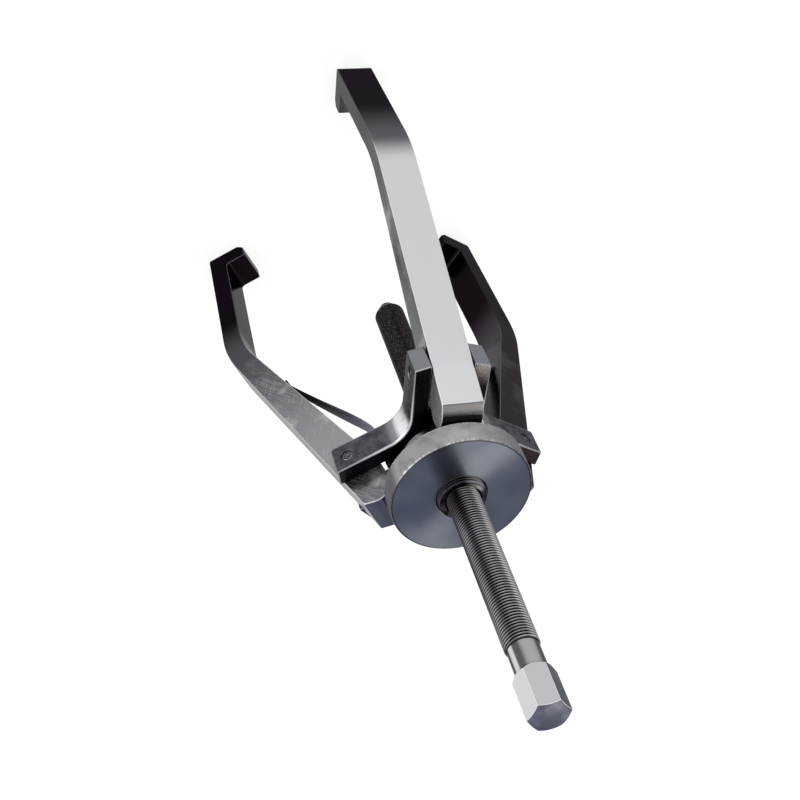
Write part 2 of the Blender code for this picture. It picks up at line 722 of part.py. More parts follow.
def make_nose(finish, ball_finish, pin_finish):
    """The smooth nose, the ball that carries its thrust and the pin that keeps it on."""
    radius = SPINDLE_DIAMETER / 2
    socket = SOCKET_DIAMETER / 2
    taper = (radius - NOSE_TIP_RADIUS) / math.tan(math.radians(NOSE_TIP_HALF_ANGLE))
    floor = NOSE_LENGTH - SOCKET_DEPTH
    profile = [
        (0.0, 0.0),
        (NOSE_TIP_RADIUS, 0.0),
        (radius, taper),
        (radius, NOSE_LENGTH - NOSE_EDGE),
        (radius - NOSE_EDGE, NOSE_LENGTH),
        (socket, NOSE_LENGTH),
        (socket, floor),
        (0.0, floor),
    ]
    nose = place("spindle_nose", turned(profile), finish)
    offset = nose_pin_offset()
    height = NOSE_LENGTH - NOSE_PIN_DEPTH
    hole = rod(NOSE_PIN_DIAMETER / 2 + GAP, -SPINDLE_DIAMETER, SPINDLE_DIAMETER)
    hole.transform(Matrix.Rotation(math.radians(90.0), 4, "X"))
    combine(nose, tool("nose_pin_hole", hole, (offset, 0.0, height)), "DIFFERENCE")
    reach = math.sqrt(radius**2 - (offset + NOSE_PIN_DIAMETER / 2) ** 2)
    pin = rod(NOSE_PIN_DIAMETER / 2, -reach, reach, PIN_CHAMFER)
    pin.transform(Matrix.Rotation(math.radians(90.0), 4, "X"))
    place("nose_pin", pin, pin_finish, (offset, 0.0, height))
    ball = arc((0.0, 0.0), BALL_DIAMETER / 2, -90.0, 90.0)
    ball[0] = (0.0, -BALL_DIAMETER / 2)
    ball[-1] = (0.0, BALL_DIAMETER / 2)
    centre = floor + GAP + BALL_DIAMETER / 2
    place("nose_ball", turned(ball, SMALL_ROUND), ball_finish, (0.0, 0.0, centre))


def main():
    clear_objects()
    arm_steel = make_material("ground arm steel", (0.42, 0.43, 0.44), 0.35)
    forging = make_material("forged spider", (0.20, 0.20, 0.21), 0.45)
    blued = make_material("blued nut steel", (0.11, 0.13, 0.17), 0.32)
    bright = make_material("bright spindle steel", (0.50, 0.50, 0.51), 0.28)
    dark = make_material("blackened steel", (0.035, 0.03, 0.035), 0.4)
    frames = {letter: arm_frame(letter) for letter in ARM_ANGLES}
    make_spider(frames, forging)
    make_sleeve(forging)
    make_lock_screw(dark)
    make_arms(frames, arm_steel)
    make_pivot_pins(frames, dark)
    make_springs(frames, dark, dark)
    make_knurled_nut(blued)
    make_cone(bright)
    make_washer(bright)
    make_snap_ring(dark)
    make_spindle(bright)
    make_nose(dark, bright, dark)


main()
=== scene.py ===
"""Self-centring three-arm bearing puller: the finish of every piece, and the view.

Pieces are worked out in millimetres, with the spindle on the Z axis and the tip of its nose at
the origin, and become metres where their meshes are made.
"""

import math

import bmesh
import bpy
import numpy as np
from mathutils import Matrix, Vector


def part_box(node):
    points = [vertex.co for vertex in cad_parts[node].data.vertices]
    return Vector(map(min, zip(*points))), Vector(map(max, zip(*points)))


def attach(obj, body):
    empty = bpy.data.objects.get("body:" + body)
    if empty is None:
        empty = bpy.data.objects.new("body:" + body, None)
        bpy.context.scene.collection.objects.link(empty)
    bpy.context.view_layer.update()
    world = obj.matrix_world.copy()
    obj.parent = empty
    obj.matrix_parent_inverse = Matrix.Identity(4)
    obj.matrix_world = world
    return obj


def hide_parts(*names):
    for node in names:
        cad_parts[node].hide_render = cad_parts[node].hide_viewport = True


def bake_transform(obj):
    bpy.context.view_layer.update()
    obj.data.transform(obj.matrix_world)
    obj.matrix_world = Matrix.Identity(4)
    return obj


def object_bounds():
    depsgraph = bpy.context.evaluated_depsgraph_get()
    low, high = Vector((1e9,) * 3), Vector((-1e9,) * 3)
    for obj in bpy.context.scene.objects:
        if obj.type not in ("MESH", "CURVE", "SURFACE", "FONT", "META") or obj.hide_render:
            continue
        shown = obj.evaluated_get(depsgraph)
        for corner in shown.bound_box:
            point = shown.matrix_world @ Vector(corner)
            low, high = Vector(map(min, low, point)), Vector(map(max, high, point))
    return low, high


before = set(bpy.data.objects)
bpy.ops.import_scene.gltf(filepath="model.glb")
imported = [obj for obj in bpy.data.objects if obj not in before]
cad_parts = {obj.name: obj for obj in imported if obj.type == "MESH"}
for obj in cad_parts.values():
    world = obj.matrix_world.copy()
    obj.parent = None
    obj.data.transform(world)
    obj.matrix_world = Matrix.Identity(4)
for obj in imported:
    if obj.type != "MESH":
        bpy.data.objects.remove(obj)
cad_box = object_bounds()


# Studio
# The puller stands on its claws on a plain white floor under soft light. The camera looks down
# on it from behind the wrench end, turned so that the claws point up in the picture.
MM = 0.001
FLOOR_LEVEL = cad_box[0].z
FLOOR_SIZE = 8.0
WHITE_SHARE = 0.8       # how much of the floor's white doesn't depend on the light
CAMERA_PLACE = (0.2284, -0.5634, 0.7835)
CAMERA_AIM = (0.0291, -0.0378, 0.1460)
CAMERA_ROLL = 159.16
CAMERA_LENS = 65.1
ROOM_LIGHT = 1.15


def add(tree, kind, inputs=None, **settings):
    """A node with its settings, whose inputs are values or the outputs of other nodes."""
    node = tree.nodes.new(kind)
    for key, value in settings.items():
        setattr(node, key, value)
    for key, value in (inputs or {}).items():
        if isinstance(value, bpy.types.NodeSocket):
            tree.links.new(value, node.inputs[key])
        else:
            node.inputs[key].default_value = value
    return node


def seen_directly(tree):
    """1 for what the camera sees, also in a reflection or through glass, and 0 for light."""
    path = add(tree, "ShaderNodeLightPath").outputs
    seen = add(tree, "ShaderNodeMath", {0: path["Is Camera Ray"], 1: path["Is Glossy Ray"]},
               operation="MAXIMUM")
    return add(tree, "ShaderNodeMath", {0: seen.outputs[0], 1: path["Is Transmission Ray"]},
               operation="MAXIMUM").outputs[0]


def soft_box(name, place, aim, size, power, colour=(1, 1, 1)):
    """A rectangular lamp that faces a point and isn't seen itself."""
    lamp_data = bpy.data.lights.new(name, "AREA")
    lamp_data.color = colour
    lamp_data.shape = "RECTANGLE"
    lamp_data.size, lamp_data.size_y = size
    lamp_data.energy = power
    lamp = bpy.data.objects.new(name, lamp_data)
    bpy.context.scene.collection.objects.link(lamp)
    lamp.location = place
    lamp.rotation_euler = (Vector(aim) - lamp.location).to_track_quat("-Z", "Y").to_euler()
    lamp.visible_camera = False


scene = bpy.context.scene
scene.view_settings.view_transform = "Standard"

camera_data = bpy.data.cameras.new("camera")
camera_data.sensor_width = 36
camera_data.lens = CAMERA_LENS
camera = bpy.data.objects.new("camera", camera_data)
scene.collection.objects.link(camera)
camera.location = CAMERA_PLACE
upright = (Vector(CAMERA_AIM) - camera.location).to_track_quat("-Z", "Y").to_matrix()
camera.rotation_euler = (upright @ Matrix.Rotation(math.radians(CAMERA_ROLL), 3, "Z")).to_euler()
scene.camera = camera

room = bpy.data.worlds.new("white room")
room.use_nodes = True
scene.world = room
room.node_tree.nodes.clear()
dim = add(room.node_tree, "ShaderNodeBackground", {"Color": (1, 1, 1, 1), "Strength": ROOM_LIGHT})
white = add(room.node_tree, "ShaderNodeBackground", {"Color": (1, 1, 1, 1), "Strength": 1.0})
mixed = add(room.node_tree, "ShaderNodeMixShader",
            {0: seen_directly(room.node_tree), 1: dim.outputs[0], 2: white.outputs[0]})
add(room.node_tree, "ShaderNodeOutputWorld", {"Surface": mixed.outputs[0]})

bpy.ops.mesh.primitive_plane_add(size=FLOOR_SIZE, location=(0, 0, FLOOR_LEVEL))
floor = bpy.context.object
floor.name = "floor"
floor_white = bpy.data.materials.new("white floor")
floor_white.use_nodes = True
tree = floor_white.node_tree
tree.nodes.clear()
matt = add(tree, "ShaderNodeBsdfDiffuse", {"Color": (0.9, 0.9, 0.9, 1)})
glow = add(tree, "ShaderNodeEmission", {"Color": (1, 1, 1, 1), "Strength": 1.0})
share = add(tree, "ShaderNodeMath", {0: seen_directly(tree), 1: WHITE_SHARE},
            operation="MULTIPLY")
mixed = add(tree, "ShaderNodeMixShader",
            {0: share.outputs[0], 1: matt.outputs[0], 2: glow.outputs[0]})
add(tree, "ShaderNodeOutputMaterial", {"Surface": mixed.outputs[0]})
floor.data.materials.append(floor_white)

WARM_LAMP = (1.0, 0.88, 0.66)
soft_box("front soft box", (0.1, -1.1, 0.3), (0, 0, 0.1), (0.9, 0.5), 2.0)
soft_box("side soft box", (1.0, -0.3, 0.3), (0, 0, 0.15), (0.4, 0.8), 4.0)
soft_box("top soft box", (-0.44, 0.44, 1.2), (0, 0, 0.15), (0.4, 0.4), 4.0, WARM_LAMP)


# Spider
# One steel forging: a hub and three forks at 120 degrees, with wide curves between them. Its
# skin is dark from the forge. Its rear face is darker still, partly forge skin and partly painted
# shade, and light is painted on the faces that look outwards, on one curve and on one cheek's
# rear.
ARM_ANGLES = {"a": 270.0, "b": 30.0, "c": 150.0}
PIVOT_RADIUS = 52.8
PIVOT_HEIGHT = 139.8
SLOT_WIDTH = 25.7
CHEEK_THICKNESS = 10.3
FORK_WIDTH = SLOT_WIDTH + 2 * CHEEK_THICKNESS
SPIDER_DEPTH = 21.4
CHEEK_REACH = 8.6       # how far the cheeks' outer corners lie beyond their pin
SPIDER_RADIUS = math.hypot(PIVOT_RADIUS + CHEEK_REACH, FORK_WIDTH / 2)
SLOT_FLOOR = 31.5
SLOT_FILLET = 3.0
VALLEY_RADIUS = 21.0
VALLEY_DRAFT = 0.5
VALLEY_EDGE = 2.0
CHEEK_EDGE = 0.9
CHEEK_CORNER = 2.2
GAP = 0.3                           # between pieces that touch or run in each other
PAST = 2.0                          # how far a cutter goes beyond what it cuts
PIN_RADIUS, SCREW_RADIUS, SLEEVE_RADIUS = 3.5, 2.5, 14.8
PIN_HOLE, PIN_HOLE_CHAMFER = PIN_RADIUS + GAP, 0.5
SCREW_HOLE, SCREW_HOLE_DEPTH = SCREW_RADIUS + GAP, 7.875
HUB_BORE = SLEEVE_RADIUS + GAP
SHARP_ANGLE = 40.0                  # an edge whose faces meet at more stays sharp
WELD = 1e-7                         # metres within which two points become one
# Where the painted highlight on the curves beside the hub fades out towards the forks.
HUB_HIGHLIGHT_REACH = (0.036, 0.044, 1, 0)     # metres from the axis: 1 by the hub, 0 on the forks


def paint(red, green, blue):
    """A colour from its three values on a screen, which go from 0 to 255."""
    return tuple((value / 255) ** 2.2 for value in (red, green, blue)) + (1.0,)


def unit(vectors):
    return vectors / np.linalg.norm(vectors, axis=-1, keepdims=True)


def rounded(corners, radii, closed=True, steps=8):
    """Corners become arcs: a centre lies on its corner's bisector, radius / sin(half the angle)
    away, and the points turn evenly from one side to the other. Also says what is on an arc."""
    corners = np.array(corners, float)
    middle = corners if closed else corners[1:-1]
    before = np.roll(corners, 1, 0) if closed else corners[:-2]
    after = np.roll(corners, -1, 0) if closed else corners[2:]
    radius = np.broadcast_to(radii, len(middle)).astype(float)[:, None]
    back, on = unit(before - middle), unit(after - middle)
    half = np.arccos((back * on).sum(1, keepdims=True)) / 2
    centre = middle + unit(back + on) * radius / np.sin(half)
    first = middle + back * radius / np.tan(half) - centre
    last = middle + on * radius / np.tan(half) - centre
    turn = (np.pi - 2 * half)[:, :, None]
    share = np.linspace(0, 1, steps + 1)[None, :, None]
    swung = np.sin((1 - share) * turn) * first[:, None] + np.sin(share * turn) * last[:, None]
    points = (centre[:, None] + swung / np.sin(turn)).reshape(-1, 2)
    worn = np.tile((share[0, :, 0] > 0) & (share[0, :, 0] < 1), len(middle)).astype(float)
    if not closed:
        points = np.vstack((corners[:1], points, corners[-1:]))
        worn = np.concatenate(([0.0], worn, [0.0]))
    return points, worn


def sheet(points, worn=0.0, closed_rows=False, closed_columns=True, skin=0, caps=False):
    """Quads between neighbouring rows and columns of a grid of points, with how worn each is."""
    rows, columns = points.shape[:2]
    index = np.arange(rows * columns).reshape(rows, columns)
    faces = [index[0].tolist(), index[-1].tolist()] if caps else []
    if closed_rows:
        index = np.vstack((index, index[:1]))
    if closed_columns:
        index = np.hstack((index, index[:, :1]))
    quads = np.stack((index[:-1, :-1], index[:-1, 1:], index[1:, 1:], index[1:, :-1]), -1)
    faces += quads.reshape(-1, 4).tolist()
    worn = np.asarray(worn, float)
    worn = np.broadcast_to(worn[:, None] if worn.ndim == 1 else worn, (rows, columns))
    return points.reshape(-1, 3), worn.reshape(-1), faces, skin


def turned(profile, count=96):
    """Each point of a profile, radius and height, goes round the Z axis in even steps."""
    angle = np.linspace(0, 2 * np.pi, count, endpoint=False)
    radius, height = np.asarray(profile).T
    return np.stack((np.outer(radius, np.cos(angle)), np.outer(radius, np.sin(angle)),
                     np.outer(height, np.ones(count))), -1)


def drill(radius, low, high, count=96):
    """A closed cylinder about the Z axis, for cutting a hole."""
    return turned([(0, low), (radius, low), (radius, high), (0, high)], count)


def slab(outline, half, edge, low_rise=None, low_shift=0.0, draft=0.0, steps=5, middle=5):
    """An outline drawn through a thickness. Near each face it moves in along its normals by
    edge x (1 - sin q) while the height gains edge x (1 - cos q), and in between it is full. The
    low face can also be shifted by vectors x (1 - sin q), with its own gain in height."""
    way = np.roll(outline, -1, 0) - np.roll(outline, 1, 0)
    normal = unit(np.stack((way[:, 1], -way[:, 0]), -1))
    after = np.roll(outline, -1, 0)
    normal *= np.sign((outline[:, 0] * after[:, 1] - after[:, 0] * outline[:, 1]).sum())
    count = len(outline)
    edge, draft = (np.broadcast_to(value, count) for value in (edge, draft))
    turn = np.linspace(0, np.pi / 2, steps)[:, None]
    inwards = edge * (1 - np.sin(turn))
    low_at = (edge if low_rise is None else low_rise) * (1 - np.cos(turn)) - half
    high_at = half - edge * (1 - np.cos(turn))
    share = np.linspace(0, 1, middle + 2)[1:-1, None]
    wall_at = low_at[-1] * (1 - share) + high_at[-1] * share
    inset = np.vstack((inwards, np.zeros((middle, count)), inwards[::-1]))
    height = np.vstack((low_at, wall_at, high_at[::-1]))
    inset = inset + draft * np.abs(height) / half
    flat = outline[None] - normal[None] * inset[..., None]
    flat[:steps] += (1 - np.sin(turn))[..., None] * low_shift
    worn = np.zeros(len(height))
    worn[:steps] = np.sin(2 * turn[:, 0])
    worn[-steps:] = np.sin(2 * turn[:, 0])
    return np.concatenate((flat, height[..., None]), -1), worn


def shape(name, sheets, finishes):
    """A mesh of sheets that are welded where they meet, with its faces pointing outwards."""
    mesh = bpy.data.meshes.new(name)
    starts = np.cumsum([0] + [len(points) for points, _, _, _ in sheets])
    faces = [[corner + start for corner in face]
             for start, (_, _, some, _) in zip(starts.tolist(), sheets) for face in some]
    mesh.from_pydata((np.vstack([points for points, _, _, _ in sheets]) * MM).tolist(), [], faces)
    skins = np.concatenate([np.full(len(some), skin) for _, _, some, skin in sheets])
    mesh.polygons.foreach_set("material_index", skins.astype(np.int32))
    layer = mesh.attributes.new("worn", "FLOAT", "POINT")
    layer.data.foreach_set("value", np.concatenate([worn for _, worn, _, _ in sheets]))
    for finish in finishes:
        mesh.materials.append(finish)
    form = bmesh.new()
    form.from_mesh(mesh)
    bmesh.ops.remove_doubles(form, verts=form.verts, dist=WELD)
    bmesh.ops.recalc_face_normals(form, faces=form.faces)
    form.to_mesh(mesh)
    form.free()
    piece = bpy.data.objects.new(name, mesh)
    scene.collection.objects.link(piece)
    return piece


def cut(piece, *cutters):
    """Take closed shapes out of a piece."""
    for sheets in cutters:
        tool = shape("cutter", sheets, [])
        step = piece.modifiers.new("Cut", "BOOLEAN")
        step.operation = "DIFFERENCE"
        step.solver = "EXACT"
        step.object = tool
        graph = bpy.context.evaluated_depsgraph_get()
        graph.update()
        mesh = bpy.data.meshes.new_from_object(piece.evaluated_get(graph))
        piece.modifiers.clear()
        piece.data = mesh
        bpy.data.objects.remove(tool)


def dress(piece, body, node):
    """Smooth the faces, each flat one staying flat, and let the piece stand for its node."""
    piece.data.shade_smooth()
    piece.data.set_sharp_from_angle(angle=math.radians(SHARP_ANGLE))
    step = piece.modifiers.new("Normals", "WEIGHTED_NORMAL")
    step.keep_sharp = True
    if body:
        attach(piece, body)
    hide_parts(node)


def at_pivot(points, angle):
    """From an arm's own frame, X outwards and Z up from its pin, to the puller's."""
    turn = math.radians(angle)
    x, y, z = points[..., 0] + PIVOT_RADIUS, points[..., 1], points[..., 2] + PIVOT_HEIGHT
    return np.stack((x * math.cos(turn) - y * math.sin(turn),
                     x * math.sin(turn) + y * math.cos(turn), z), -1)


def along_pin(points):
    """What was turned about Z lies along the pin, which is Y in an arm's frame."""
    return points[..., [0, 2, 1]]


def outwards(points):
    """What was turned about Z lies along X, which points away from the spindle."""
    return points[..., [2, 1, 0]]


def steel_tree(name, roughness, metallic=1.0):
    """A new metal, its node tree and its shader."""
    finish = bpy.data.materials.new(name)
    finish.use_nodes = True
    shader = finish.node_tree.nodes["Principled BSDF"]
    shader.inputs["Metallic"].default_value = metallic
    shader.inputs["Roughness"].default_value = roughness
    shader.inputs["Specular Tint"].default_value = (0.5, 0.5, 0.5, 1)
    return finish, finish.node_tree, shader


def on_piece(tree):
    """Where a point lies, in metres: a piece's own frame is the puller's."""
    return add(tree, "ShaderNodeTexCoord").outputs["Object"]


def along(tree, vector, axis):
    """One of a vector's coordinates, X, Y or Z."""
    return add(tree, "ShaderNodeSeparateXYZ", {0: vector}).outputs[axis]


def blur(tree, scale, detail, stretch=(1, 1, 1), place=None):
    """Noise with its grain drawn out: a larger number packs it closer along that axis."""
    place = place or on_piece(tree)
    drawn = add(tree, "ShaderNodeMapping", {"Vector": place, "Scale": stretch})
    return add(tree, "ShaderNodeTexNoise",
               {"Vector": drawn.outputs[0], "Scale": scale, "Detail": detail}).outputs["Fac"]


def ramp(tree, value, low, high, start=0.0, end=1.0):
    """A soft step: start below low, end above high."""
    limits = {"From Min": low, "From Max": high, "To Min": start, "To Max": end}
    return add(tree, "ShaderNodeMapRange", {"Value": value, **limits},
               interpolation_type="SMOOTHSTEP").outputs[0]


def times(tree, first, second):
    """The product of two values."""
    return add(tree, "ShaderNodeMath", {0: first, 1: second}, operation="MULTIPLY").outputs[0]


def blend_colour(tree, share, first, second):
    """From the first colour to the second as share goes from 0 to 1. Each is what a node gives
    or the three values of a screen."""
    first, second = (paint(*one) if isinstance(one, tuple) else one for one in (first, second))
    return add(tree, "ShaderNodeMix", {"Factor": share, "A": first, "B": second},
               data_type="RGBA").outputs["Result"]


def fade(tree, value, step, first, second):
    """From the first colour to the second over a soft step of a value: low, high, and the
    shares of the second colour below and above, which are 0 and 1 unless given."""
    return blend_colour(tree, ramp(tree, value, *step), first, second)


def wear(tree, *step):
    """A soft step of the share that a mesh gives its worn edges, crests and points."""
    worn = add(tree, "ShaderNodeAttribute", attribute_name="worn").outputs["Fac"]
    return ramp(tree, worn, *step)


def rub_edges(tree, skin, most, colour, low=0.2):
    """Worn edges, crests and points take up to a share of another colour."""
    return blend_colour(tree, wear(tree, low, 0.9, 0, most), skin, colour)


def uneven(tree, noise, low, high):
    """A value that goes from low to high with a noise."""
    return ramp(tree, noise, 0.3, 0.7, low, high)


def coat(tree, shader, colour, **others):
    """Give a metal its colour, and by name whatever else changes over its surface."""
    tree.links.new(colour, shader.inputs["Base Color"])
    for name, value in others.items():
        tree.links.new(value, shader.inputs[name])


def facing(tree, direction):
    """How far a surface faces a direction, as the dot product in the piece's own frame."""
    normal = add(tree, "ShaderNodeTexCoord").outputs["Normal"]
    return add(tree, "ShaderNodeVectorMath", {0: normal, 1: direction},
               operation="DOT_PRODUCT").outputs["Value"]


def from_axis(tree, measure):
    """The level vector from the spindle's axis to a point: its LENGTH, or NORMALIZE to 1."""
    level = add(tree, "ShaderNodeMapping", {"Vector": on_piece(tree), "Scale": (1, 1, 0)})
    return add(tree, "ShaderNodeVectorMath", {0: level.outputs[0]}, operation=measure).outputs


def away(tree):
    """The level direction from the spindle's axis to a point."""
    return from_axis(tree, "NORMALIZE")["Vector"]


def reach_of(tree):
    """How far a point lies from the spindle's axis, in metres."""
    return from_axis(tree, "LENGTH")["Value"]


def side_of(tree, direction):
    """How far round towards a level direction a point lies: 1 straight that way, -1 opposite."""
    return add(tree, "ShaderNodeVectorMath", {0: away(tree), 1: direction},
               operation="DOT_PRODUCT").outputs["Value"]


def forged_steel():
    """Blotched dark skin, lighter along edges, partly from wear and partly as painted highlight.
    Light is painted on the faces that look straight outwards, and a painted sheen and highlight
    on one side of the curves beside the hub. The rear face is dark, partly forge skin and partly
    painted shade, and one cheek's rear is painted lighter."""
    finish, tree, shader = steel_tree("forged steel", 0.3)
    place = on_piece(tree)
    spots = blur(tree, 900, 4)
    clouds = blur(tree, 160, 3)
    skin = fade(tree, clouds, (0.35, 0.65), (64, 64, 73), (84, 84, 90))
    skin = fade(tree, spots, (0.5, 0.7, 0, 0.35), skin, (116, 116, 119))
    # The rear face: dark, partly forge skin and partly painted shade, with painted light on one
    # cheek's rear.
    lit_cheek = times(tree, ramp(tree, along(tree, place, "X"), -0.016, -0.01, 1, 0),
                       ramp(tree, along(tree, place, "Y"), -0.066, -0.044, 1, 0))
    rear = blend_colour(tree, lit_cheek, (40, 36, 42), (98, 98, 104))
    skin = fade(tree, facing(tree, (0, 0, 1)), (0.8, 0.97), skin, rear)
    # Painted light on the faces that look straight outwards.
    out = facing(tree, away(tree))
    skin = fade(tree, out, (0.62, 0.95, 0, 0.85), skin, (132, 134, 140))
    reach = reach_of(tree)
    # A painted sheen and a painted highlight on one side of the curves beside the hub.
    hub = times(tree, ramp(tree, reach, *HUB_HIGHLIGHT_REACH),
                ramp(tree, facing(tree, (0.87, -0.5, 0)), 0.6, 0.9, 0.1, 1))
    curve = times(tree, hub, ramp(tree, out, 0.58, 0.95, 0, 0.7))
    skin = blend_colour(tree, curve, skin, (146, 147, 152))
    bright = times(tree, hub, ramp(tree, facing(tree, (0.9, -0.43, 0)), 0.93, 0.99))
    bright = times(tree, bright, ramp(tree, clouds, 0.25, 0.5, 0.45, 1))
    skin = blend_colour(tree, bright, skin, (232, 233, 236))
    # Edges lighter, partly wear and partly painted highlight, most by the hub.
    edge = times(tree, wear(tree, 0.3, 1.0), ramp(tree, reach, 0.036, 0.055, 0.75, 0.35))
    skin = blend_colour(tree, edge, skin, (225, 226, 230))
    bumps = add(tree, "ShaderNodeBump", {"Height": spots, "Strength": 0.3, "Distance": 0.0003})
    coat(tree, shader, skin, Roughness=uneven(tree, spots, 0.24, 0.38),
         Normal=bumps.outputs[0])
    return finish


half_fork, half_slot = FORK_WIDTH / 2, SLOT_WIDTH / 2
outer = math.sqrt(SPIDER_RADIUS**2 - half_fork**2)
inner = math.sqrt(SPIDER_RADIUS**2 - half_slot**2)
fork = np.array([
    (outer, -half_fork), (inner, -half_slot), (SLOT_FLOOR, -half_slot), (SLOT_FLOOR, half_slot),
    (inner, half_slot), (outer, half_fork), (half_fork / math.tan(math.radians(60)), half_fork),
])
FORK_CORNERS = ("cheek", "cheek", "floor", "floor", "cheek", "cheek", "valley")
FORK_RADII = {"cheek": 1.0, "floor": SLOT_FILLET, "valley": VALLEY_RADIUS}
CORNER_STEPS = 16
angles = np.radians(sorted(ARM_ANGLES.values()))
plan = np.concatenate([
    fork @ np.array([(math.cos(a), math.sin(a)), (-math.sin(a), math.cos(a))]) for a in angles])
corners = FORK_CORNERS * 3
plan, _ = rounded(plan, [FORK_RADII[kind] for kind in corners], steps=CORNER_STEPS)
corner = np.repeat(corners, CORNER_STEPS + 1)
in_valley = np.where(corner == "valley", 1.0, 0.0)
at_end = corner == "cheek"
edges = CHEEK_EDGE + (VALLEY_EDGE - CHEEK_EDGE) * in_valley
fork_way = np.repeat(np.stack((np.cos(angles), np.sin(angles)), -1), len(corner) // 3, axis=0)
grid, worn = slab(
    plan, SPIDER_DEPTH / 2, edges, np.where(at_end, CHEEK_CORNER, edges),
    fork_way * np.where(at_end, CHEEK_EDGE - CHEEK_CORNER, 0)[:, None], VALLEY_DRAFT * in_valley)
grid[..., 2] += PIVOT_HEIGHT
worn = worn[:, None] * np.where(corner == "floor", 0.0, 1.0)

spider = shape("spider_skin", [sheet(grid, worn, caps=True)], [forged_steel()])
wide, past = PIN_HOLE + PIN_HOLE_CHAMFER + 1, half_fork + 1
sink = half_fork - PIN_HOLE_CHAMFER
pin_hole = turned([(0, -past), (wide, -past), (PIN_HOLE, -sink), (PIN_HOLE, sink), (wide, past),
                   (0, past)], 48)
floor_x = SLOT_FLOOR - PIVOT_RADIUS
screw_hole = outwards(drill(SCREW_HOLE, -SCREW_HOLE_DEPTH, PAST, 32)) + (floor_x, 0, 0)
cut(spider, [sheet(drill(HUB_BORE, 0, 2 * PIVOT_HEIGHT))],
    *[[sheet(at_pivot(along_pin(pin_hole), angle))] for angle in ARM_ANGLES.values()],
    *[[sheet(at_pivot(screw_hole, angle))] for angle in ARM_ANGLES.values()])
dress(spider, "frame", "spider")


# Arms
# Three forged bars with a round tail at the top and a claw at the foot. Their sides and backs
# are ground and brushed. Each arm has its own tones of painted light and shade: the claws are
# dark with painted reflection and shade, and the inner faces with painted shade.
ARM_WIDTH = 25.0
ARM_OUTER_OFFSET, ARM_INNER_OFFSET = 12.6, 13.3
ARM_OUTER_LEAN, ARM_INNER_LEAN, ARM_END_LEAN = 17.6, 21.0, -2.4
ARM_BEND_DROP, ARM_END_DROP, ARM_END_THICKNESS = 160.2, 277.8, 13.4
BEND_RADIUS_OUTER, BEND_RADIUS_INNER = 105.0, 90.0
TAIL_CENTRE, TAIL_RADIUS, TAIL_TOP_SLOPE = (-7.8, 24.2), 12.4, 15.0
TAIL_WAIST, WAIST_TURN = 15.6, 6.0
CLAW_OVERHANG, CLAW_THICKNESS, CLAW_TIP_THICKNESS, CLAW_FILLET = 15.5, 14.0, 10.0, 3.0
ARM_EDGE = 0.7
GRINDING_SLANT, SCRATCH_SLANT = 38.0, -20.0


def crossing(point, lean, other, other_lean):
    """Where two lines cross, each given by a point and how far it leans out going down."""
    lines = np.array([(math.cos(math.radians(a)), math.sin(math.radians(a)))
                      for a in (lean, other_lean)])
    return np.linalg.solve(lines, [lines[0] @ point, lines[1] @ other])


def arc(centre, radius, start, end, steps):
    """Points on a circle, evenly from one angle in degrees to another."""
    turn = np.radians(np.linspace(start, end, steps + 1))
    return np.stack((centre[0] + radius * np.cos(turn), centre[1] + radius * np.sin(turn)), -1)


def arm_outline():
    """The arm seen along its pin: a round tail, straight sides that lean out, a bend, a claw."""
    outer, inner = (ARM_OUTER_OFFSET, 0.0), (-ARM_INNER_OFFSET, 0.0)
    outer_bend = crossing(outer, ARM_OUTER_LEAN, (0.0, -ARM_BEND_DROP), 90.0)
    outer_end = crossing(outer_bend, ARM_END_LEAN, (0.0, -ARM_END_DROP), 90.0)
    inner_end = outer_end - (ARM_END_THICKNESS, 0.0)
    inner_bend = crossing(inner, ARM_INNER_LEAN, inner_end, ARM_END_LEAN)
    grip = CLAW_THICKNESS - ARM_END_DROP
    root = crossing(inner_end, ARM_END_LEAN, (0.0, grip), 90.0)
    tip = root - (CLAW_OVERHANG, 0.0)
    heel = (tip[0] + CLAW_THICKNESS - CLAW_TIP_THICKNESS, -ARM_END_DROP)
    crown = arc(TAIL_CENTRE, TAIL_RADIUS, 90.0 - TAIL_TOP_SLOPE, 90.0, 1)[0]
    back = crossing(crown, 90.0 - TAIL_TOP_SLOPE, outer, ARM_OUTER_LEAN)
    drop = math.sqrt(TAIL_RADIUS**2 - (TAIL_WAIST + TAIL_CENTRE[0]) ** 2)
    meets = 180.0 + math.degrees(math.asin(drop / TAIL_RADIUS))
    tail = arc(TAIL_CENTRE, TAIL_RADIUS, 90.0 - TAIL_TOP_SLOPE, meets - WAIST_TURN, 40)
    waist = (-TAIL_WAIST, TAIL_CENTRE[1] - drop)
    waist_foot = crossing(waist, 0.0, inner, ARM_INNER_LEAN)
    corners, radii = zip(
        (waist, 1.5), (waist_foot, 8.0), (inner_bend, BEND_RADIUS_INNER), (root, CLAW_FILLET),
        (tip, 1.0), (tip - (0.0, CLAW_TIP_THICKNESS), 1.5), (heel, 1.5), (outer_end, 2.0),
        (outer_bend, BEND_RADIUS_OUTER), (back, 1.2))
    points, _ = rounded([tail[-1], *corners, crown], radii, closed=False, steps=14)
    return np.vstack((points[1:-1], tail))


def swung(tree, vector, about_y=0.0, about_z=0.0):
    """The same place, turned about Y or Z by an angle in degrees."""
    turn = (0, math.radians(about_y), math.radians(about_z))
    return add(tree, "ShaderNodeMapping", {"Vector": vector, "Rotation": turn}).outputs[0]


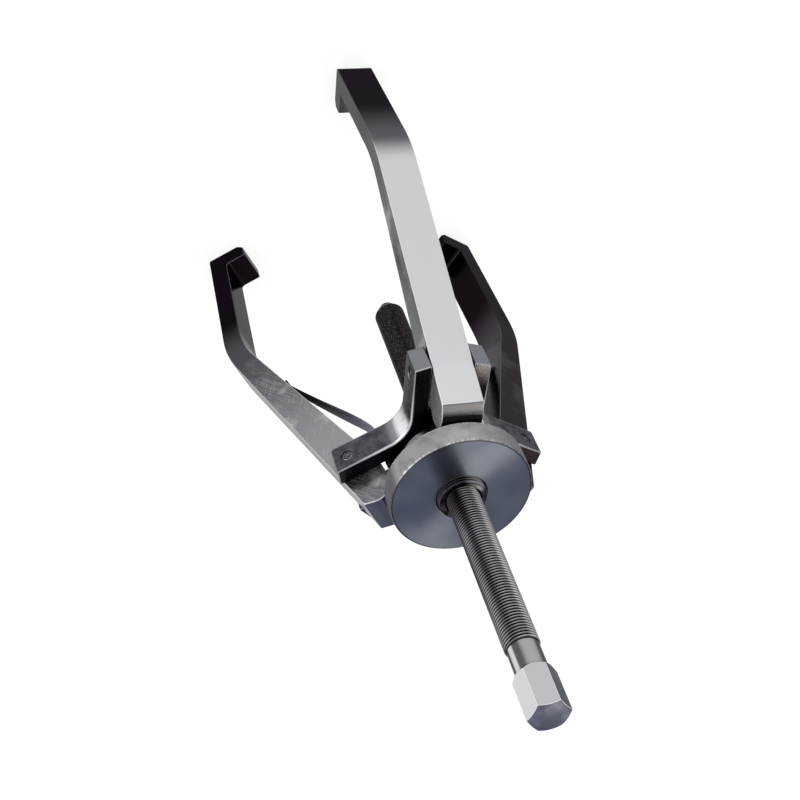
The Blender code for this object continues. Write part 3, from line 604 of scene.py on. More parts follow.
def ground_steel(letter, tone):
    """Grinding lines along the arm and scratches across it. Each arm has its own tones of painted
    light and shade: the claw is dark with painted reflection and shade, and the sides run from
    the hook's tone to those of the bend, the root, the painted shadow of the cheek beside them
    and the tail. The inner faces are painted shade, and the back and the top of the tail take
    painted light and shade by height and place."""
    finish, tree, shader = steel_tree(f"ground arm steel {letter}", 0.24)
    angle = math.radians(ARM_ANGLES[letter])
    local = swung(tree, on_piece(tree), about_z=-ARM_ANGLES[letter])
    height = along(tree, local, "Z")
    out = facing(tree, (math.cos(angle), math.sin(angle), 0))
    lines = blur(tree, 60, 3, (30, 30, 1.5), swung(tree, local, about_y=GRINDING_SLANT))
    scratches = blur(tree, 40, 2, (45, 20, 1), swung(tree, local, about_y=SCRATCH_SLANT))
    clouds = blur(tree, 42, 3, place=local)
    # The sides: painted light and shade from place to place, with the cheek's painted shadow.
    side = tone["hook"]
    for place, span in SIDE_LIGHT_SPANS.items():
        side = fade(tree, height, span, side, tone[place])
    rubbed = ramp(tree, height, -0.01, 0.03, 0, 0.6)
    for pattern, step, place in ((lines, (0.4, 0.66), "root"), (clouds, (0.52, 0.66), "mark"),
                                 (scratches, (0.62, 0.7), "mark")):
        share = times(tree, rubbed, ramp(tree, pattern, *step))
        side = blend_colour(tree, share, side, tone[place])
    # The back: dark by the claw with painted reflection, then painted lighter.
    rear = fade(tree, height, (-0.08, -0.028), (36, 31, 37), (92, 93, 98))
    rear = fade(tree, height, (-0.03, -0.004), rear, tone["back"])
    # The inner faces: painted shade.
    front = fade(tree, height, (-0.06, -0.015), (30, 25, 30), tone["inside"])
    front = fade(tree, height, (0.0, 0.07), front, (40, 35, 41))
    steel = fade(tree, out, (0.6, 0.85), side, rear)
    steel = fade(tree, out, (-0.85, -0.6, 1, 0), steel, front)
    # The top of the tail: painted light and shade, darker nearer the spindle.
    top = fade(tree, along(tree, local, "X"), (0.0465, 0.0515), tone["top_near"], tone["top_far"])
    on_top = times(tree, ramp(tree, facing(tree, (0, 0, 1)), 0.4, 0.5),
                   ramp(tree, height, 0.13, 0.15))
    steel = blend_colour(tree, on_top, steel, top)
    # Worn edges, fainter by the claw, in each arm's painted tone.
    edge = times(tree, ramp(tree, height, -0.03, -0.01, 0.1, 0.75), wear(tree, 0.3, 1.0))
    steel = blend_colour(tree, edge, steel, tone["edge"])
    coat(tree, shader, steel, Roughness=uneven(tree, lines, 0.2, 0.26),
         Metallic=ramp(tree, height, 0.144, 0.152, 1, 0.84))
    return finish


outline = arm_outline()
grid, worn = slab(outline, ARM_WIDTH / 2, ARM_EDGE)
arm_grid = grid[..., [0, 2, 1]]
arm_hole = drill(PIN_HOLE, -ARM_WIDTH, ARM_WIDTH, 48)
# Heights in metres over which the side takes each place's painted tone from the one below.
SIDE_LIGHT_SPANS = {"bend": (-0.056, -0.016), "root": (0.0, 0.12), "cheek_shadow": (0.13, 0.15),
              "tail": (0.152, 0.165)}
# Each arm's tones of painted light and shade, place by place: the three arms are one steel.
ARM_LIGHT_TONES = {
    "a": dict(hook=(72, 71, 75), bend=(102, 102, 106), root=(140, 142, 143),
              cheek_shadow=(205, 205, 207), tail=(205, 205, 207), mark=(202, 204, 204),
              inside=(58, 54, 58), back=(199, 199, 202), top_near=(36, 33, 38),
              top_far=(106, 106, 112), edge=(228, 228, 230)),
    "b": dict(hook=(26, 21, 27), bend=(76, 77, 81), root=(142, 145, 148),
              cheek_shadow=(46, 43, 48), tail=(92, 95, 100), mark=(184, 185, 187),
              inside=(84, 78, 84), back=(122, 123, 130), top_near=(66, 69, 83),
              top_far=(74, 77, 91), edge=(228, 228, 230)),
    "c": dict(hook=(30, 25, 31), bend=(48, 43, 48), root=(54, 50, 55),
              cheek_shadow=(58, 55, 60), tail=(58, 55, 60), mark=(78, 74, 78),
              inside=(74, 70, 76), back=(74, 71, 76), top_near=(66, 68, 80),
              top_far=(74, 77, 90), edge=(112, 108, 114)),
}
for letter, angle in ARM_ANGLES.items():
    arm = shape(f"arm_{letter}_bar", [sheet(at_pivot(arm_grid, angle), worn, caps=True)],
                [ground_steel(letter, ARM_LIGHT_TONES[letter])])
    cut(arm, [sheet(at_pivot(along_pin(arm_hole), angle))])
    dress(arm, f"arm_{letter}", f"arm_{letter}")


# Pivot pins
# Plain hardened pins, pressed in a little below the faces of the cheeks, with the dimple of the
# lathe's centre in each end.
PIN_RECESS = 0.8
PIN_DIMPLE = 1.1


def dark_steel():
    """Oiled black steel with a few bright specks."""
    finish, tree, shader = steel_tree("dark oiled steel", 0.36)
    specks = blur(tree, 900, 3)
    skin = fade(tree, specks, (0.4, 0.7), (62, 61, 66), (105, 104, 108))
    skin = rub_edges(tree, skin, 0.6, (190, 190, 195))
    bumps = add(tree, "ShaderNodeBump", {"Height": specks, "Strength": 0.2, "Distance": 0.0002})
    coat(tree, shader, skin, Normal=bumps.outputs[0])
    return finish


oiled = dark_steel()
half_pin = FORK_WIDTH / 2 - PIN_RECESS
pin_profile, pin_worn = rounded(
    [(0, -half_pin + PIN_DIMPLE), (PIN_DIMPLE, -half_pin), (PIN_RADIUS, -half_pin),
     (PIN_RADIUS, half_pin), (PIN_DIMPLE, half_pin), (0, half_pin - PIN_DIMPLE)],
    (0.1, 0.5, 0.5, 0.1), closed=False, steps=4)
for letter, angle in ARM_ANGLES.items():
    pin = shape(f"pin_{letter}",
                [sheet(at_pivot(along_pin(turned(pin_profile, 48)), angle), pin_worn)], [oiled])
    dress(pin, "frame", f"pivot_pin_{letter}")


# Threaded sleeve
# A turned sleeve with a thread outside for the nut. Inside it holds the spindle's thread, but
# its bore is left plain. Its flange bears on the front of the hub.
SPINDLE_RADIUS = 10.0
SLEEVE_BORE, SLEEVE_CHAMFER = SPINDLE_RADIUS + GAP, 1.1
FLANGE_RADIUS, FLANGE_THICKNESS = 21.0, 5.0
THREAD_START = PIVOT_HEIGHT + SPIDER_DEPTH / 2 - 1.0
PITCH = 2.0
THREAD_DEPTH = 1.2
THREAD_ROOT, THREAD_FLANK, THREAD_CREST = 0.25, 5 / 16, 1 / 8    # shares of the pitch


def levels(node):
    """The heights of a node's foot and top, in millimetres."""
    return tuple(corner.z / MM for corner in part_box(node))


def threaded(low, high, crest, low_end, high_end, count=96):
    """A right-hand thread. Rows follow the helix: height = pitch x (turn + angle / 360), and the
    radius steps between crest and root. A cone from each end's radius cuts the crests off."""
    angle = np.linspace(0, 2 * np.pi, count + 1)
    phases = np.array([0, THREAD_FLANK, THREAD_FLANK + THREAD_CREST, 1 - THREAD_ROOT])
    depths = np.array([THREAD_DEPTH, 0, 0, THREAD_DEPTH])
    turns = np.arange(-1, math.ceil((high - low) / PITCH) + 1)
    rise = low + PITCH * (turns[:, None] + phases).reshape(-1, 1) + PITCH * angle / (2 * np.pi)
    height = np.clip(rise, low, high)
    radius = np.broadcast_to(crest - np.tile(depths, len(turns))[:, None], height.shape)
    radius = np.minimum(radius, low_end + (height - low))
    radius = np.minimum(radius, high_end + (high - height))
    points = np.stack((radius * np.cos(angle), radius * np.sin(angle), height), -1)
    shine = np.clip(1 - (crest - radius) / THREAD_DEPTH, 0, 1)
    return sheet(points, shine, closed_columns=False)


def turned_steel():
    """Dark with old oil, a little cleaner on the crests and the rims, with a painted highlight on
    one side.
    """
    finish, tree, shader = steel_tree("turned sleeve steel", 0.3)
    grime = blur(tree, 260, 4)
    skin = fade(tree, grime, (0.35, 0.65), (22, 19, 24), (50, 45, 51))
    # A painted highlight on one side.
    lit_side = side_of(tree, (-0.5, -0.87, 0))
    skin = fade(tree, lit_side, (0.84, 0.98, 0, 0.6), skin, (142, 143, 148))
    skin = rub_edges(tree, skin, 0.3, (112, 110, 116), low=0.3)
    coat(tree, shader, skin, Roughness=uneven(tree, grime, 0.22, 0.4))
    return finish


sleeve_foot, sleeve_top = levels("threaded_sleeve")
flange_top = sleeve_foot + FLANGE_THICKNESS
sleeve_root = SLEEVE_RADIUS - THREAD_DEPTH
wide_bore = SLEEVE_BORE + SLEEVE_CHAMFER
bore_and_end, end_worn = rounded(
    [(sleeve_root, sleeve_top), (wide_bore, sleeve_top),
     (SLEEVE_BORE, sleeve_top - SLEEVE_CHAMFER), (SLEEVE_BORE, sleeve_foot + SLEEVE_CHAMFER),
     (wide_bore, sleeve_foot), (FLANGE_RADIUS, sleeve_foot), (FLANGE_RADIUS, flange_top),
     (SLEEVE_RADIUS, flange_top), (SLEEVE_RADIUS, THREAD_START), (sleeve_root, THREAD_START)],
    (0.3, 0.3, 0.3, 0.3, 1.0, 1.0, 0.2, 0.2), closed=False, steps=4)
outside_thread = threaded(THREAD_START, sleeve_top, SLEEVE_RADIUS, sleeve_root, sleeve_root)
sleeve = shape("sleeve", [sheet(turned(bore_and_end), end_worn), outside_thread],
               [turned_steel()])
dress(sleeve, "frame", "threaded_sleeve")


# Sleeve lock screw
# A slotted grub screw through the hub, which keeps the sleeve from turning.
LOCK_RADIUS = 3.0
LOCK_SLOT_WIDTH, LOCK_SLOT_DEPTH = 1.2, 1.6


def rod(radius, low, high, steps, count):
    """A rod about the Z axis with the edges of its ends rounded, and how worn each row is."""
    profile, worn = rounded([(0, low), (radius, low), (radius, high), (0, high)], 0.4,
                            closed=False, steps=steps)
    return turned(profile, count), worn


def box(low, high):
    """A closed box between two corners, as a tube with its ends capped."""
    (x0, y0, z0), (x1, y1, z1) = low, high
    ring = np.array([(x0, y0), (x1, y0), (x1, y1), (x0, y1)], float)
    rows = [np.column_stack((ring, np.full(4, z))) for z in (z0, z1)]
    return sheet(np.array(rows), caps=True)


lock_low, lock_high = (corner.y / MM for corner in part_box("sleeve_lock_screw"))
lock_grid, lock_worn = rod(LOCK_RADIUS, lock_low, lock_high, 3, 40)
lock_screw = shape("lock_screw", [sheet(along_pin(lock_grid) + (0, 0, PIVOT_HEIGHT), lock_worn)],
                   [oiled])
reach, half_width = LOCK_RADIUS + PAST, LOCK_SLOT_WIDTH / 2
cut(lock_screw, [box((-reach, lock_high - LOCK_SLOT_DEPTH, PIVOT_HEIGHT - half_width),
                     (reach, lock_high + PAST, PIVOT_HEIGHT + half_width))])
dress(lock_screw, "frame", "sleeve_lock_screw")


# Leaf springs and their screws
# Each is a strip of blued spring steel, screwed flat to the floor of its fork. Its blade presses
# the arm outwards, and its tip is curled up so that it slides.
SPRING_THICKNESS = 1.3
SPRING_ROOT_WIDTH, SPRING_TIP_WIDTH = 12.5, 5.5
SPRING_TAPER_DROP = 56.0
SPRING_FOOT, SPRING_REACH = 17.0, 113.5
SPRING_ROOT_PULL, SPRING_TIP_PULL, SPRING_TIP_LEAN = 30.0, 80.0, 28.0
SPRING_CURL_RADIUS, SPRING_CURL_ANGLE = 4.0, 65.0
FOOT_STEPS, CURL_STEPS = 5, 9
# Painted shade: the blade darkens to black towards its tip, between the arms.
SHADED_TIP = (0.05, 0.12, 1, 0)      # metres of height over which the blade turns from black
HEAD_RADIUS, HEAD_HEIGHT, SCREW_GRIP = 4.3, 2.4, 5.5
HEAD_SLOT_WIDTH, HEAD_SLOT_DEPTH = 1.2, 1.3


def spring_line():
    """The blade's middle seen along the pin: a straight foot, a cubic curve whose ends pull
    along its foot and its tip, and an arc for the curl."""
    lean, tip_lean = math.radians(ARM_INNER_LEAN), math.radians(SPRING_TIP_LEAN)
    foot = floor_x + GAP + SPRING_THICKNESS / 2
    start = np.array((foot, -SPRING_FOOT / 2))
    touch = -ARM_INNER_OFFSET + SPRING_REACH * math.tan(lean)
    end = np.array((touch - (GAP + SPRING_THICKNESS / 2) / math.cos(lean), -SPRING_REACH))
    way = np.array((math.sin(tip_lean), -math.cos(tip_lean)))
    side = np.array((way[1], -way[0]))
    first, second = start - (0, SPRING_ROOT_PULL), end - way * SPRING_TIP_PULL
    t = np.linspace(0, 1, 50)[:, None]
    blade = ((1 - t)**3 * start + 3 * (1 - t)**2 * t * first
             + 3 * (1 - t) * t**2 * second + t**3 * end)
    turn = np.radians(np.linspace(0, SPRING_CURL_ANGLE, CURL_STEPS + 1))[1:, None]
    curl = end + side * SPRING_CURL_RADIUS + SPRING_CURL_RADIUS * (
        way * np.sin(turn) - side * np.cos(turn))
    straight = np.linspace((foot, SPRING_FOOT / 2), start, FOOT_STEPS + 1)[:-1]
    return np.vstack((straight, blade, curl))


def blued_spring():
    """Violet-grey by the screw, running to black at the tip with painted shade, and with streaks
    along the strip.
    """
    finish, tree, shader = steel_tree("blued spring steel", 0.3)
    height = along(tree, on_piece(tree), "Z")
    streaks = blur(tree, 120, 3, (6, 6, 1))
    skin = fade(tree, streaks, (0.35, 0.65), (98, 94, 116), (128, 124, 144))
    # Painted shade towards the tip.
    skin = fade(tree, height, SHADED_TIP, skin, (34, 30, 36))
    skin = rub_edges(tree, skin, 0.5, (165, 160, 172))
    coat(tree, shader, skin, Roughness=uneven(tree, streaks, 0.24, 0.38))
    return finish


line = spring_line()
way = unit(np.gradient(line, axis=0))
out = np.stack((way[:, 1], -way[:, 0]), -1)
share = np.clip((-line[:, 1] - SPRING_TAPER_DROP) / (SPRING_REACH - SPRING_TAPER_DROP), 0, 1)
strip_half = (SPRING_ROOT_WIDTH + (SPRING_TIP_WIDTH - SPRING_ROOT_WIDTH) * share) / 2
section, section_worn = rounded([(-1, -1), (1, -1), (1, 1), (-1, 1)], 0.02, steps=3)
section = section * (SPRING_THICKNESS / 2, 1)
flat = line[:, None] + out[:, None] * section[None, :, :1]
across = strip_half[:, None] * section[None, :, 1]
spring_grid = np.stack((flat[..., 0], across, flat[..., 1]), -1)
spring_worn = np.broadcast_to(section_worn, spring_grid.shape[:2])
seat = GAP + SPRING_THICKNESS + GAP
spring_hole = outwards(drill(SCREW_HOLE, -PAST, seat + PAST, 32))
screw_profile, screw_worn = rounded(
    [(0, -SCREW_GRIP), (SCREW_RADIUS, -SCREW_GRIP), (SCREW_RADIUS, seat), (HEAD_RADIUS, seat),
     (HEAD_RADIUS, seat + HEAD_HEIGHT), (0, seat + HEAD_HEIGHT)],
    (0.4, 0.1, 0.2, 0.8), closed=False, steps=4)
blued = blued_spring()
for letter, angle in ARM_ANGLES.items():
    strip = sheet(at_pivot(spring_grid, angle), spring_worn, caps=True)
    spring = shape(f"spring_{letter}", [strip], [blued])
    cut(spring, [sheet(at_pivot(spring_hole + (floor_x, 0, 0), angle))])
    dress(spring, None, f"arm_spring_{letter}")
    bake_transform(spring)
    screw_grid = outwards(turned(screw_profile, 40)) + (floor_x, 0, 0)
    screw = shape(f"screw_{letter}", [sheet(at_pivot(screw_grid, angle), screw_worn)], [oiled])
    top, reach, half_width = floor_x + seat + HEAD_HEIGHT, HEAD_RADIUS + PAST, HEAD_SLOT_WIDTH / 2
    points, *others = box((top - HEAD_SLOT_DEPTH, -reach, -half_width),
                          (top + PAST, reach, half_width))
    cut(screw, [(at_pivot(points, angle), *others)])
    dress(screw, "frame", f"spring_screw_{letter}")


# Knurled nut
# A thick disc, turned by hand. Its face is turned and blued, its rim has a diamond knurl, and a
# boss on its front carries the cone.
NUT_RADIUS = 43.1
NUT_LOW, NUT_HIGH = levels("knurled_nut")
NUT_THICKNESS = 16.2
NUT_BORE = SLEEVE_RADIUS + GAP
BOSS_RADIUS = 20.0
NUT_CHAMFER = 0.8
DARK_RIM = (0.0416, 0.0419)     # metres from the axis, where the face's edge turns dark
KNURL_PITCH, KNURL_ANGLE, KNURL_DEPTH = 1.0, 30.0, 0.3
GROOVE_LOW, GROOVE_HIGH, GROOVE_RADIUS = 156.1, 158.2, 18.3


def diamond_knurl(low, high, radius, count):
    """Rows and columns of points, raised and sunk by turns like a chessboard. Each cell is cut
    along the diagonal that joins its sunk corners, which leaves four-sided pyramids."""
    step = KNURL_PITCH / 2 / math.tan(math.radians(KNURL_ANGLE))
    rows = round((high - low) / step) + 1
    angle = np.linspace(0, 2 * np.pi, count, endpoint=False)
    i, j = np.meshgrid(np.arange(rows), np.arange(count), indexing="ij")
    raised = (i + j) % 2
    r = radius - KNURL_DEPTH * (1 - raised)
    z = np.linspace(low, high, rows)[:, None] + np.zeros(count)
    points = np.stack((r * np.cos(angle), r * np.sin(angle), z), -1)
    index = i * count + j
    a, b = index[:-1], np.roll(index, -1, 1)[:-1]
    c, d = np.roll(index, -1, 1)[1:], index[1:]
    sunk = raised[:-1] == 0
    one = np.where(sunk[..., None], np.stack((a, b, c), -1), np.stack((b, c, d), -1))
    two = np.where(sunk[..., None], np.stack((a, c, d), -1), np.stack((b, d, a), -1))
    faces = np.concatenate((one.reshape(-1, 3), two.reshape(-1, 3))).tolist()
    return points, (points.reshape(-1, 3), raised.reshape(-1).astype(float), faces, 1)


def blued_face():
    """Slate blue-grey, with turning marks that draw the highlights out along each radius."""
    finish, tree, shader = steel_tree("blued disc face", 0.3)
    reach = reach_of(tree)
    rings = add(tree, "ShaderNodeTexNoise", {"W": reach, "Scale": 2600.0, "Detail": 2.0},
                noise_dimensions="1D").outputs["Fac"]
    clouds = blur(tree, 26, 2)
    skin = fade(tree, clouds, (0.35, 0.65), (72, 77, 93), (82, 88, 101))
    skin = rub_edges(tree, skin, 0.7, (150, 154, 162))
    skin = fade(tree, reach, DARK_RIM, skin, (40, 38, 44))
    shader.inputs["Anisotropic"].default_value = 0.9
    shader.inputs["Anisotropic Rotation"].default_value = 0.25
    around = add(tree, "ShaderNodeTangent", direction_type="RADIAL", axis="Z")
    coat(tree, shader, skin, Roughness=uneven(tree, rings, 0.28, 0.36),
         Tangent=around.outputs[0])
    return finish


def bright_knurl():
    """Bare steel, grey in the cuts and bright on the points, with painted shade at two places
    round it, and less of a mirror at a third, which paints it lighter there."""
    finish, tree, shader = steel_tree("bright knurled rim", 0.4)
    clouds = blur(tree, 120, 3)
    skin = fade(tree, clouds, (0.35, 0.65), (176, 175, 179), (198, 198, 201))
    # Painted shade at two places round the rim.
    side = side_of(tree, (1, 0, 0))
    skin = fade(tree, side, (-0.95, 0.0, 0.85, 0), skin, (112, 113, 120))
    skin = fade(tree, side, (0.9, 0.97, 0, 0.8), skin, (84, 86, 96))
    skin = blend_colour(tree, wear(tree, 0.0, 0.6, 0.75, 0), skin, (70, 66, 70))
    # Less of a mirror here, so that it shows lighter: painted light.
    lighter_side = side_of(tree, (0, -1, 0))
    coat(tree, shader, skin, Metallic=ramp(tree, lighter_side, 0.88, 0.99, 1, 0.3))
    return finish


teeth = round(2 * math.pi * NUT_RADIUS / KNURL_PITCH)
nut_front, face_radius = NUT_HIGH - NUT_THICKNESS, NUT_RADIUS - NUT_CHAMFER
rim_low, rim_high = nut_front + NUT_CHAMFER, NUT_HIGH - NUT_CHAMFER
rim, rim_sheet = diamond_knurl(rim_low, rim_high, NUT_RADIUS, 2 * teeth)
nut_profile, nut_worn = rounded(
    [(face_radius, nut_front), (BOSS_RADIUS, nut_front), (BOSS_RADIUS, GROOVE_HIGH),
     (GROOVE_RADIUS, GROOVE_HIGH), (GROOVE_RADIUS, GROOVE_LOW), (BOSS_RADIUS, GROOVE_LOW),
     (BOSS_RADIUS, NUT_LOW), (NUT_BORE, NUT_LOW), (NUT_BORE, rim_high),
     (NUT_BORE + NUT_CHAMFER, NUT_HIGH), (face_radius, NUT_HIGH)],
    (0.4, 0.15, 0.1, 0.1, 0.15, 0.4, 0.3, 0.2, 0.2), closed=False, steps=4)
nut_grid = turned(nut_profile, 2 * teeth)
chamfers = [sheet(np.stack((rim[0], nut_grid[0])), (0.4, 0.0), skin=1),
            sheet(np.stack((rim[-1], nut_grid[-1])), (0.35, 0.0), skin=1)]
nut = shape("hand_nut", [sheet(nut_grid, nut_worn), rim_sheet] + chamfers,
            [blued_face(), bright_knurl()])
dress(nut, "nut", "knurled_nut")


# Cone, washer and snap ring
# The hardened cone rides on the nut's boss and spreads the tails of the arms. A washer parts it
# from the turning nut, and an open ring in the boss's groove keeps it on.
CONE_BORE = BOSS_RADIUS + GAP
CONE_HALF_ANGLE = math.radians(20)
RING_INNER, RING_WIDTH, RING_OPENING = 18.6, 3.6, 34.0


def bright_steel():
    """Hardened and ground, with a fine turned grain and smears of oil."""
    finish, tree, shader = steel_tree("ground bright steel", 0.24)
    grain = blur(tree, 140, 3, (1, 1, 16))
    smears = blur(tree, 45, 2)
    skin = fade(tree, smears, (0.4, 0.7), (168, 168, 171), (134, 131, 132))
    skin = rub_edges(tree, skin, 0.6, (222, 222, 225))
    coat(tree, shader, skin, Roughness=uneven(tree, grain, 0.2, 0.34))
    return finish


def collar(inner, outer, low, high):
    """The section of a flat ring, from its inner and outer radius and its heights."""
    corners = [(inner, low), (outer, low), (outer, high), (inner, high)]
    return rounded(corners, 0.25, steps=3)


ground = bright_steel()
cone_low, cone_high = levels("thrust_cone")
cone_top_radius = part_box("thrust_cone")[1].x / MM
cone_foot_radius = cone_top_radius - (cone_high - cone_low) * math.tan(CONE_HALF_ANGLE)
cone_profile, cone_worn = rounded(
    [(CONE_BORE, cone_high), (cone_top_radius, cone_high), (cone_foot_radius, cone_low),
     (CONE_BORE, cone_low)], (0.3, 0.8, 0.8, 0.3), steps=5)
cone = shape("cone", [sheet(turned(cone_profile), cone_worn, closed_rows=True)], [ground])
dress(cone, "cone", "thrust_cone")

washer_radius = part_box("cone_washer")[1].x / MM
washer_profile, washer_worn = collar(CONE_BORE, washer_radius, *levels("cone_washer"))
washer = shape("washer", [sheet(turned(washer_profile), washer_worn, closed_rows=True)], [ground])
dress(washer, "nut", "cone_washer")

ring_section, ring_worn = collar(RING_INNER, RING_INNER + RING_WIDTH, *levels("cone_snap_ring"))
sweep = np.radians(np.linspace(90 + RING_OPENING / 2, 450 - RING_OPENING / 2, 90))
ring_grid = np.stack((np.outer(np.cos(sweep), ring_section[:, 0]),
                      np.outer(np.sin(sweep), ring_section[:, 0]),
                      np.outer(np.ones(len(sweep)), ring_section[:, 1])), -1)
ring = shape("snap_ring", [sheet(ring_grid, np.broadcast_to(ring_worn, ring_grid.shape[:2]),
                                 caps=True)], [blued])
dress(ring, "nut", "cone_snap_ring")


# Spindle
# The forcing screw: a pilot in the nose, a long thread, a plain shank and a hexagon for the
# wrench. The thread's crests are bright and its roots dark, the shank and hexagon are ground.
# Light and shade are painted on the thread, the shank and the hexagon.
PILOT_RADIUS, PILOT_GROOVE = 6.0, 4.3
SPINDLE_LOW, SPINDLE_HIGH = levels("spindle")
SHOULDER = 93.3
GROOVE = (85.6, 89.4)
THREAD_TOP, SHANK_RADIUS, SHANK_CHAMFER, HEX_FOOT = 312.8, 9.1, 0.3, 329.8
HEX_HALF_FLATS, HEX_TURN = 10.5, 9.75
HEX_FOOT_RADIUS, HEX_FOOT_CHAMFER = 9.9, 3.0
HEX_END_RADIUS, HEX_END_CHAMFER = 8.8, 2.0
HEX_CROWN = 0.5
# The bright lines on the hexagon's edges are painted highlights.
EDGE_LINE = 0.6         # width of the bright line round the foot and the end of the hexagon
EDGE_TURN = 1.3         # and of the lines along it, in degrees
SHADED_FOOT = (0.2, 0.235, 0.85, 0)       # metres of height: painted shade by the nut,
RUBBED_TOP = (0.265, 0.3, 0, 0.35)      # and cleaner steel towards the shank
# Painted light and shade round the thread: bright and dark streaks along it, by angle.
THREAD_LIGHT_BANDS = ((-180, 130), (-150, 138), (-138, 140), (-127, 196), (-115, 208), (-103, 150),
                (-91, 160), (-80, 178), (-68, 155), (-56, 97), (-45, 97), (-33, 148), (-21, 164),
                (-9, 125), (2, 68), (14, 68), (60, 150), (100, 105), (140, 160), (180, 130))


def light_bands(tree, tones):
    """Painted light and shade: greys that run along the spindle, from pairs of an angle round it
    in degrees and a tone.
    """
    place = on_piece(tree)
    turn = add(tree, "ShaderNodeMath", {0: along(tree, place, "Y"), 1: along(tree, place, "X")},
               operation="ARCTAN2").outputs[0]
    share = add(tree, "ShaderNodeMapRange",
                {"Value": turn, "From Min": -math.pi, "From Max": math.pi})
    bands = add(tree, "ShaderNodeValToRGB", {"Fac": share.outputs[0]})
    stops = bands.color_ramp.elements
    for angle, _ in tones[1:-1]:
        stops.new((angle + 180) / 360)
    for stop, (_, tone) in zip(stops, tones):
        stop.color = paint(tone, tone - 2, tone + 2)
    return bands.outputs["Color"]


def spindle_steel():
    """Dark roots and greyer crests in the thread, with painted light and shade in bands along it,
    and painted shade on one side by the nut."""
    finish, tree, shader = steel_tree("spindle thread steel", 0.28)
    height = along(tree, on_piece(tree), "Z")
    smears = blur(tree, 70, 3, (1, 1, 0.5))
    # The crests take painted light and shade in bands round the spindle.
    crests = light_bands(tree, THREAD_LIGHT_BANDS)
    skin = fade(tree, smears, (0.45, 0.75, 0, 0.25), crests, (96, 92, 98))
    # Painted shade on one side by the nut.
    shaded_side = times(tree, ramp(tree, height, *SHADED_FOOT),
                 ramp(tree, side_of(tree, (0.84, -0.545, 0)), 0.75, 0.97, 0.1, 1))
    skin = blend_colour(tree, shaded_side, skin, (34, 27, 32))
    skin = fade(tree, height, RUBBED_TOP, skin, (170, 168, 172))
    skin = blend_colour(tree, wear(tree, 0.3, 0.95, 0.96, 0), skin, (26, 22, 26))
    coat(tree, shader, skin, Roughness=uneven(tree, smears, 0.22, 0.34))
    return finish


def shank_steel():
    """Turned and polished: dark, with two painted highlights drawn out into streaks along the
    shank.
    """
    finish, tree, shader = steel_tree("polished shank", 0.24)
    grain = blur(tree, 160, 3, (1, 1, 14))
    skin = fade(tree, grain, (0.3, 0.7), (80, 79, 82), (92, 91, 94))
    # Two painted highlights, by which way the surface faces.
    wide, narrow = facing(tree, (0.0, -1.0, 0)), facing(tree, (0.93, -0.37, 0))
    skin = fade(tree, wide, (0.8, 0.98, 0, 0.9), skin, (166, 166, 169))
    skin = fade(tree, narrow, (0.965, 0.998, 0, 0.95), skin, (214, 214, 217))
    coat(tree, shader, skin, Roughness=uneven(tree, grain, 0.2, 0.3))
    return finish


def wrench_steel():
    """The ground hexagon, with painted light on one side, painted shade in blue-grey on the other
    and painted highlights along its edges.
    """
    finish, tree, shader = steel_tree("ground hexagon", 0.26)
    smears = blur(tree, 80, 2)
    # Painted light and shade by which way a face looks.
    lit = facing(tree, (0.80, -0.30, -0.52))
    dark = fade(tree, smears, (0.4, 0.7), (76, 80, 95), (99, 103, 119))
    skin = fade(tree, lit, (-0.3, 0.45), dark, (184, 185, 189))
    skin = fade(tree, lit, (0.45, 0.95), skin, (214, 216, 219))
    # Painted highlights along the edges.
    skin = rub_edges(tree, skin, 0.8, (240, 241, 243))
    coat(tree, shader, skin, Roughness=ramp(tree, facing(tree, (0, 0, 1)), 0.4, 0.7, 0.25, 0.5))
    return finish


def hexagon():
    """A row's radius at each angle is the flat's, half the width / cos(angle from its middle).
    The chamfer rows sit where that radius meets the cones at the foot and the end."""
    rim = 30.0 - EDGE_TURN
    side = np.radians(np.concatenate(([-30.0, -rim], np.linspace(-25, 25, 12), [rim])))
    within = np.tile(side, 6)
    angle = within + np.repeat(np.radians(60.0 * np.arange(6) + 30.0 + HEX_TURN), len(side))
    flat = HEX_HALF_FLATS / np.cos(within)
    reach = HEX_HALF_FLATS / math.cos(math.pi / 6) + GAP
    foot_slope = HEX_FOOT_CHAMFER / (reach - HEX_FOOT_RADIUS)
    end_slope = HEX_END_CHAMFER / (reach - HEX_END_RADIUS)
    foot = HEX_FOOT + foot_slope * (flat - HEX_FOOT_RADIUS)
    end = SPINDLE_HIGH - end_slope * (flat - HEX_END_RADIUS)
    half_line = EDGE_LINE / 2
    even = np.ones(len(angle))
    dome = np.linspace(1, 0, 5)[:, None]
    radius = np.vstack((SHANK_RADIUS * even, HEX_FOOT_RADIUS * even, flat, flat, flat, flat,
                        flat - half_line, HEX_END_RADIUS * dome * even))
    height = np.vstack((HEX_FOOT * even, HEX_FOOT * even, foot, foot + half_line,
                        end - half_line, end, end + end_slope * half_line,
                        (SPINDLE_HIGH - HEX_CROWN * dome**2) * even))
    # The worn share marks the painted highlights along the corners and round the foot and the
    # end.
    worn = np.zeros(radius.shape)
    worn[2:6, within == side[0]] = 1.0
    worn[5] = 1.0
    worn[2] = np.maximum(worn[2], 0.6)
    points = np.stack((radius * np.cos(angle), radius * np.sin(angle), height), -1)
    return sheet(points, worn, skin=2)


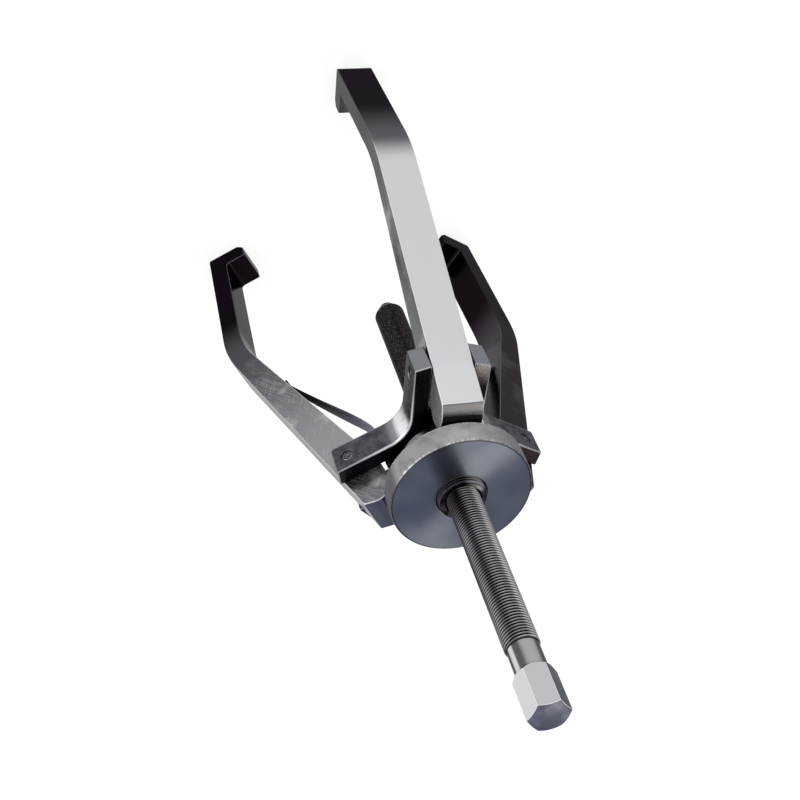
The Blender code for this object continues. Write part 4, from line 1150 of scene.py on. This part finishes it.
lower_profile, _ = rounded(
    [(0, SPINDLE_LOW), (PILOT_RADIUS, SPINDLE_LOW), (PILOT_RADIUS, GROOVE[0]),
     (PILOT_GROOVE, GROOVE[0]), (PILOT_GROOVE, GROOVE[1]), (PILOT_RADIUS, GROOVE[1]),
     (PILOT_RADIUS, SHOULDER), (SPINDLE_RADIUS - THREAD_DEPTH, SHOULDER)],
    (0.5, 0.1, 0.1, 0.1, 0.1, 0.2), closed=False, steps=3)
shank_start = SHANK_RADIUS - SHANK_CHAMFER
shank_profile = [(shank_start, THREAD_TOP), (SHANK_RADIUS, THREAD_TOP + SHANK_CHAMFER),
                 (SHANK_RADIUS, HEX_FOOT)]
main_thread = threaded(SHOULDER, THREAD_TOP, SPINDLE_RADIUS, SPINDLE_RADIUS - THREAD_DEPTH,
                       shank_start)
spindle = shape("forcing_screw", [
    sheet(turned(lower_profile), 0.8), main_thread, sheet(turned(shank_profile), skin=1),
    hexagon()], [spindle_steel(), shank_steel(), wrench_steel()])
dress(spindle, "spindle", "spindle")


# Nose
# A blackened nose that stays still while the spindle turns in it. A ball carries the thrust,
# and a pin in a groove of the pilot keeps the nose on.
NOSE_LENGTH = SHOULDER - GAP
NOSE_TIP_RADIUS, NOSE_TIP_HALF_ANGLE = 4.5, 30.0
SOCKET_RADIUS, SOCKET_FLOOR = PILOT_RADIUS + GAP, 69.0
NOSE_PIN_RADIUS = 1.5


def blackened():
    """Black oxide, speckled where the nose has rubbed."""
    finish, tree, shader = steel_tree("blackened nose", 0.38)
    specks = blur(tree, 1100, 3)
    clouds = blur(tree, 60, 2)
    skin = fade(tree, specks, (0.5, 0.7), (38, 34, 38), (92, 90, 94))
    skin = fade(tree, clouds, (0.5, 0.8, 0, 0.4), skin, (62, 56, 58))
    skin = rub_edges(tree, skin, 0.5, (140, 135, 136))
    coat(tree, shader, skin, Roughness=uneven(tree, specks, 0.3, 0.45))
    return finish


taper = (SPINDLE_RADIUS - NOSE_TIP_RADIUS) / math.tan(math.radians(NOSE_TIP_HALF_ANGLE))
nose_profile, nose_worn = rounded(
    [(0, 0), (NOSE_TIP_RADIUS, 0), (SPINDLE_RADIUS, taper), (SPINDLE_RADIUS, NOSE_LENGTH),
     (SOCKET_RADIUS, NOSE_LENGTH), (SOCKET_RADIUS, SOCKET_FLOOR), (0, SOCKET_FLOOR)],
    (0.4, 1.5, 0.8, 0.3, 0.5), closed=False, steps=5)
nose = shape("nose", [sheet(turned(nose_profile), nose_worn)], [blackened()])
pin_low, pin_high = (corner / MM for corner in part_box("nose_pin"))
pin_x, pin_z = (pin_low.x + pin_high.x) / 2, (pin_low.z + pin_high.z) / 2
cross_hole = drill(NOSE_PIN_RADIUS + GAP, -1.5 * SPINDLE_RADIUS, 1.5 * SPINDLE_RADIUS, 32)
cut(nose, [sheet(along_pin(cross_hole) + (pin_x, 0, pin_z))])
dress(nose, "nose", "spindle_nose")

pin_grid, pin_worn = rod(NOSE_PIN_RADIUS, pin_low.y, pin_high.y, 4, 32)
cross_pin = shape("cross_pin", [sheet(along_pin(pin_grid) + (pin_x, 0, pin_z), pin_worn)],
                  [oiled])
dress(cross_pin, "nose", "nose_pin")

ball_low, ball_high = levels("nose_ball")
ball_radius = (ball_high - ball_low) / 2
ball_profile = arc((0.0, (ball_low + ball_high) / 2), ball_radius, -90, 90, 24)
ball_profile[[0, -1], 0] = 0.0
ball = shape("ball", [sheet(turned(ball_profile, 48))], [ground])
dress(ball, "nose", "nose_ball")
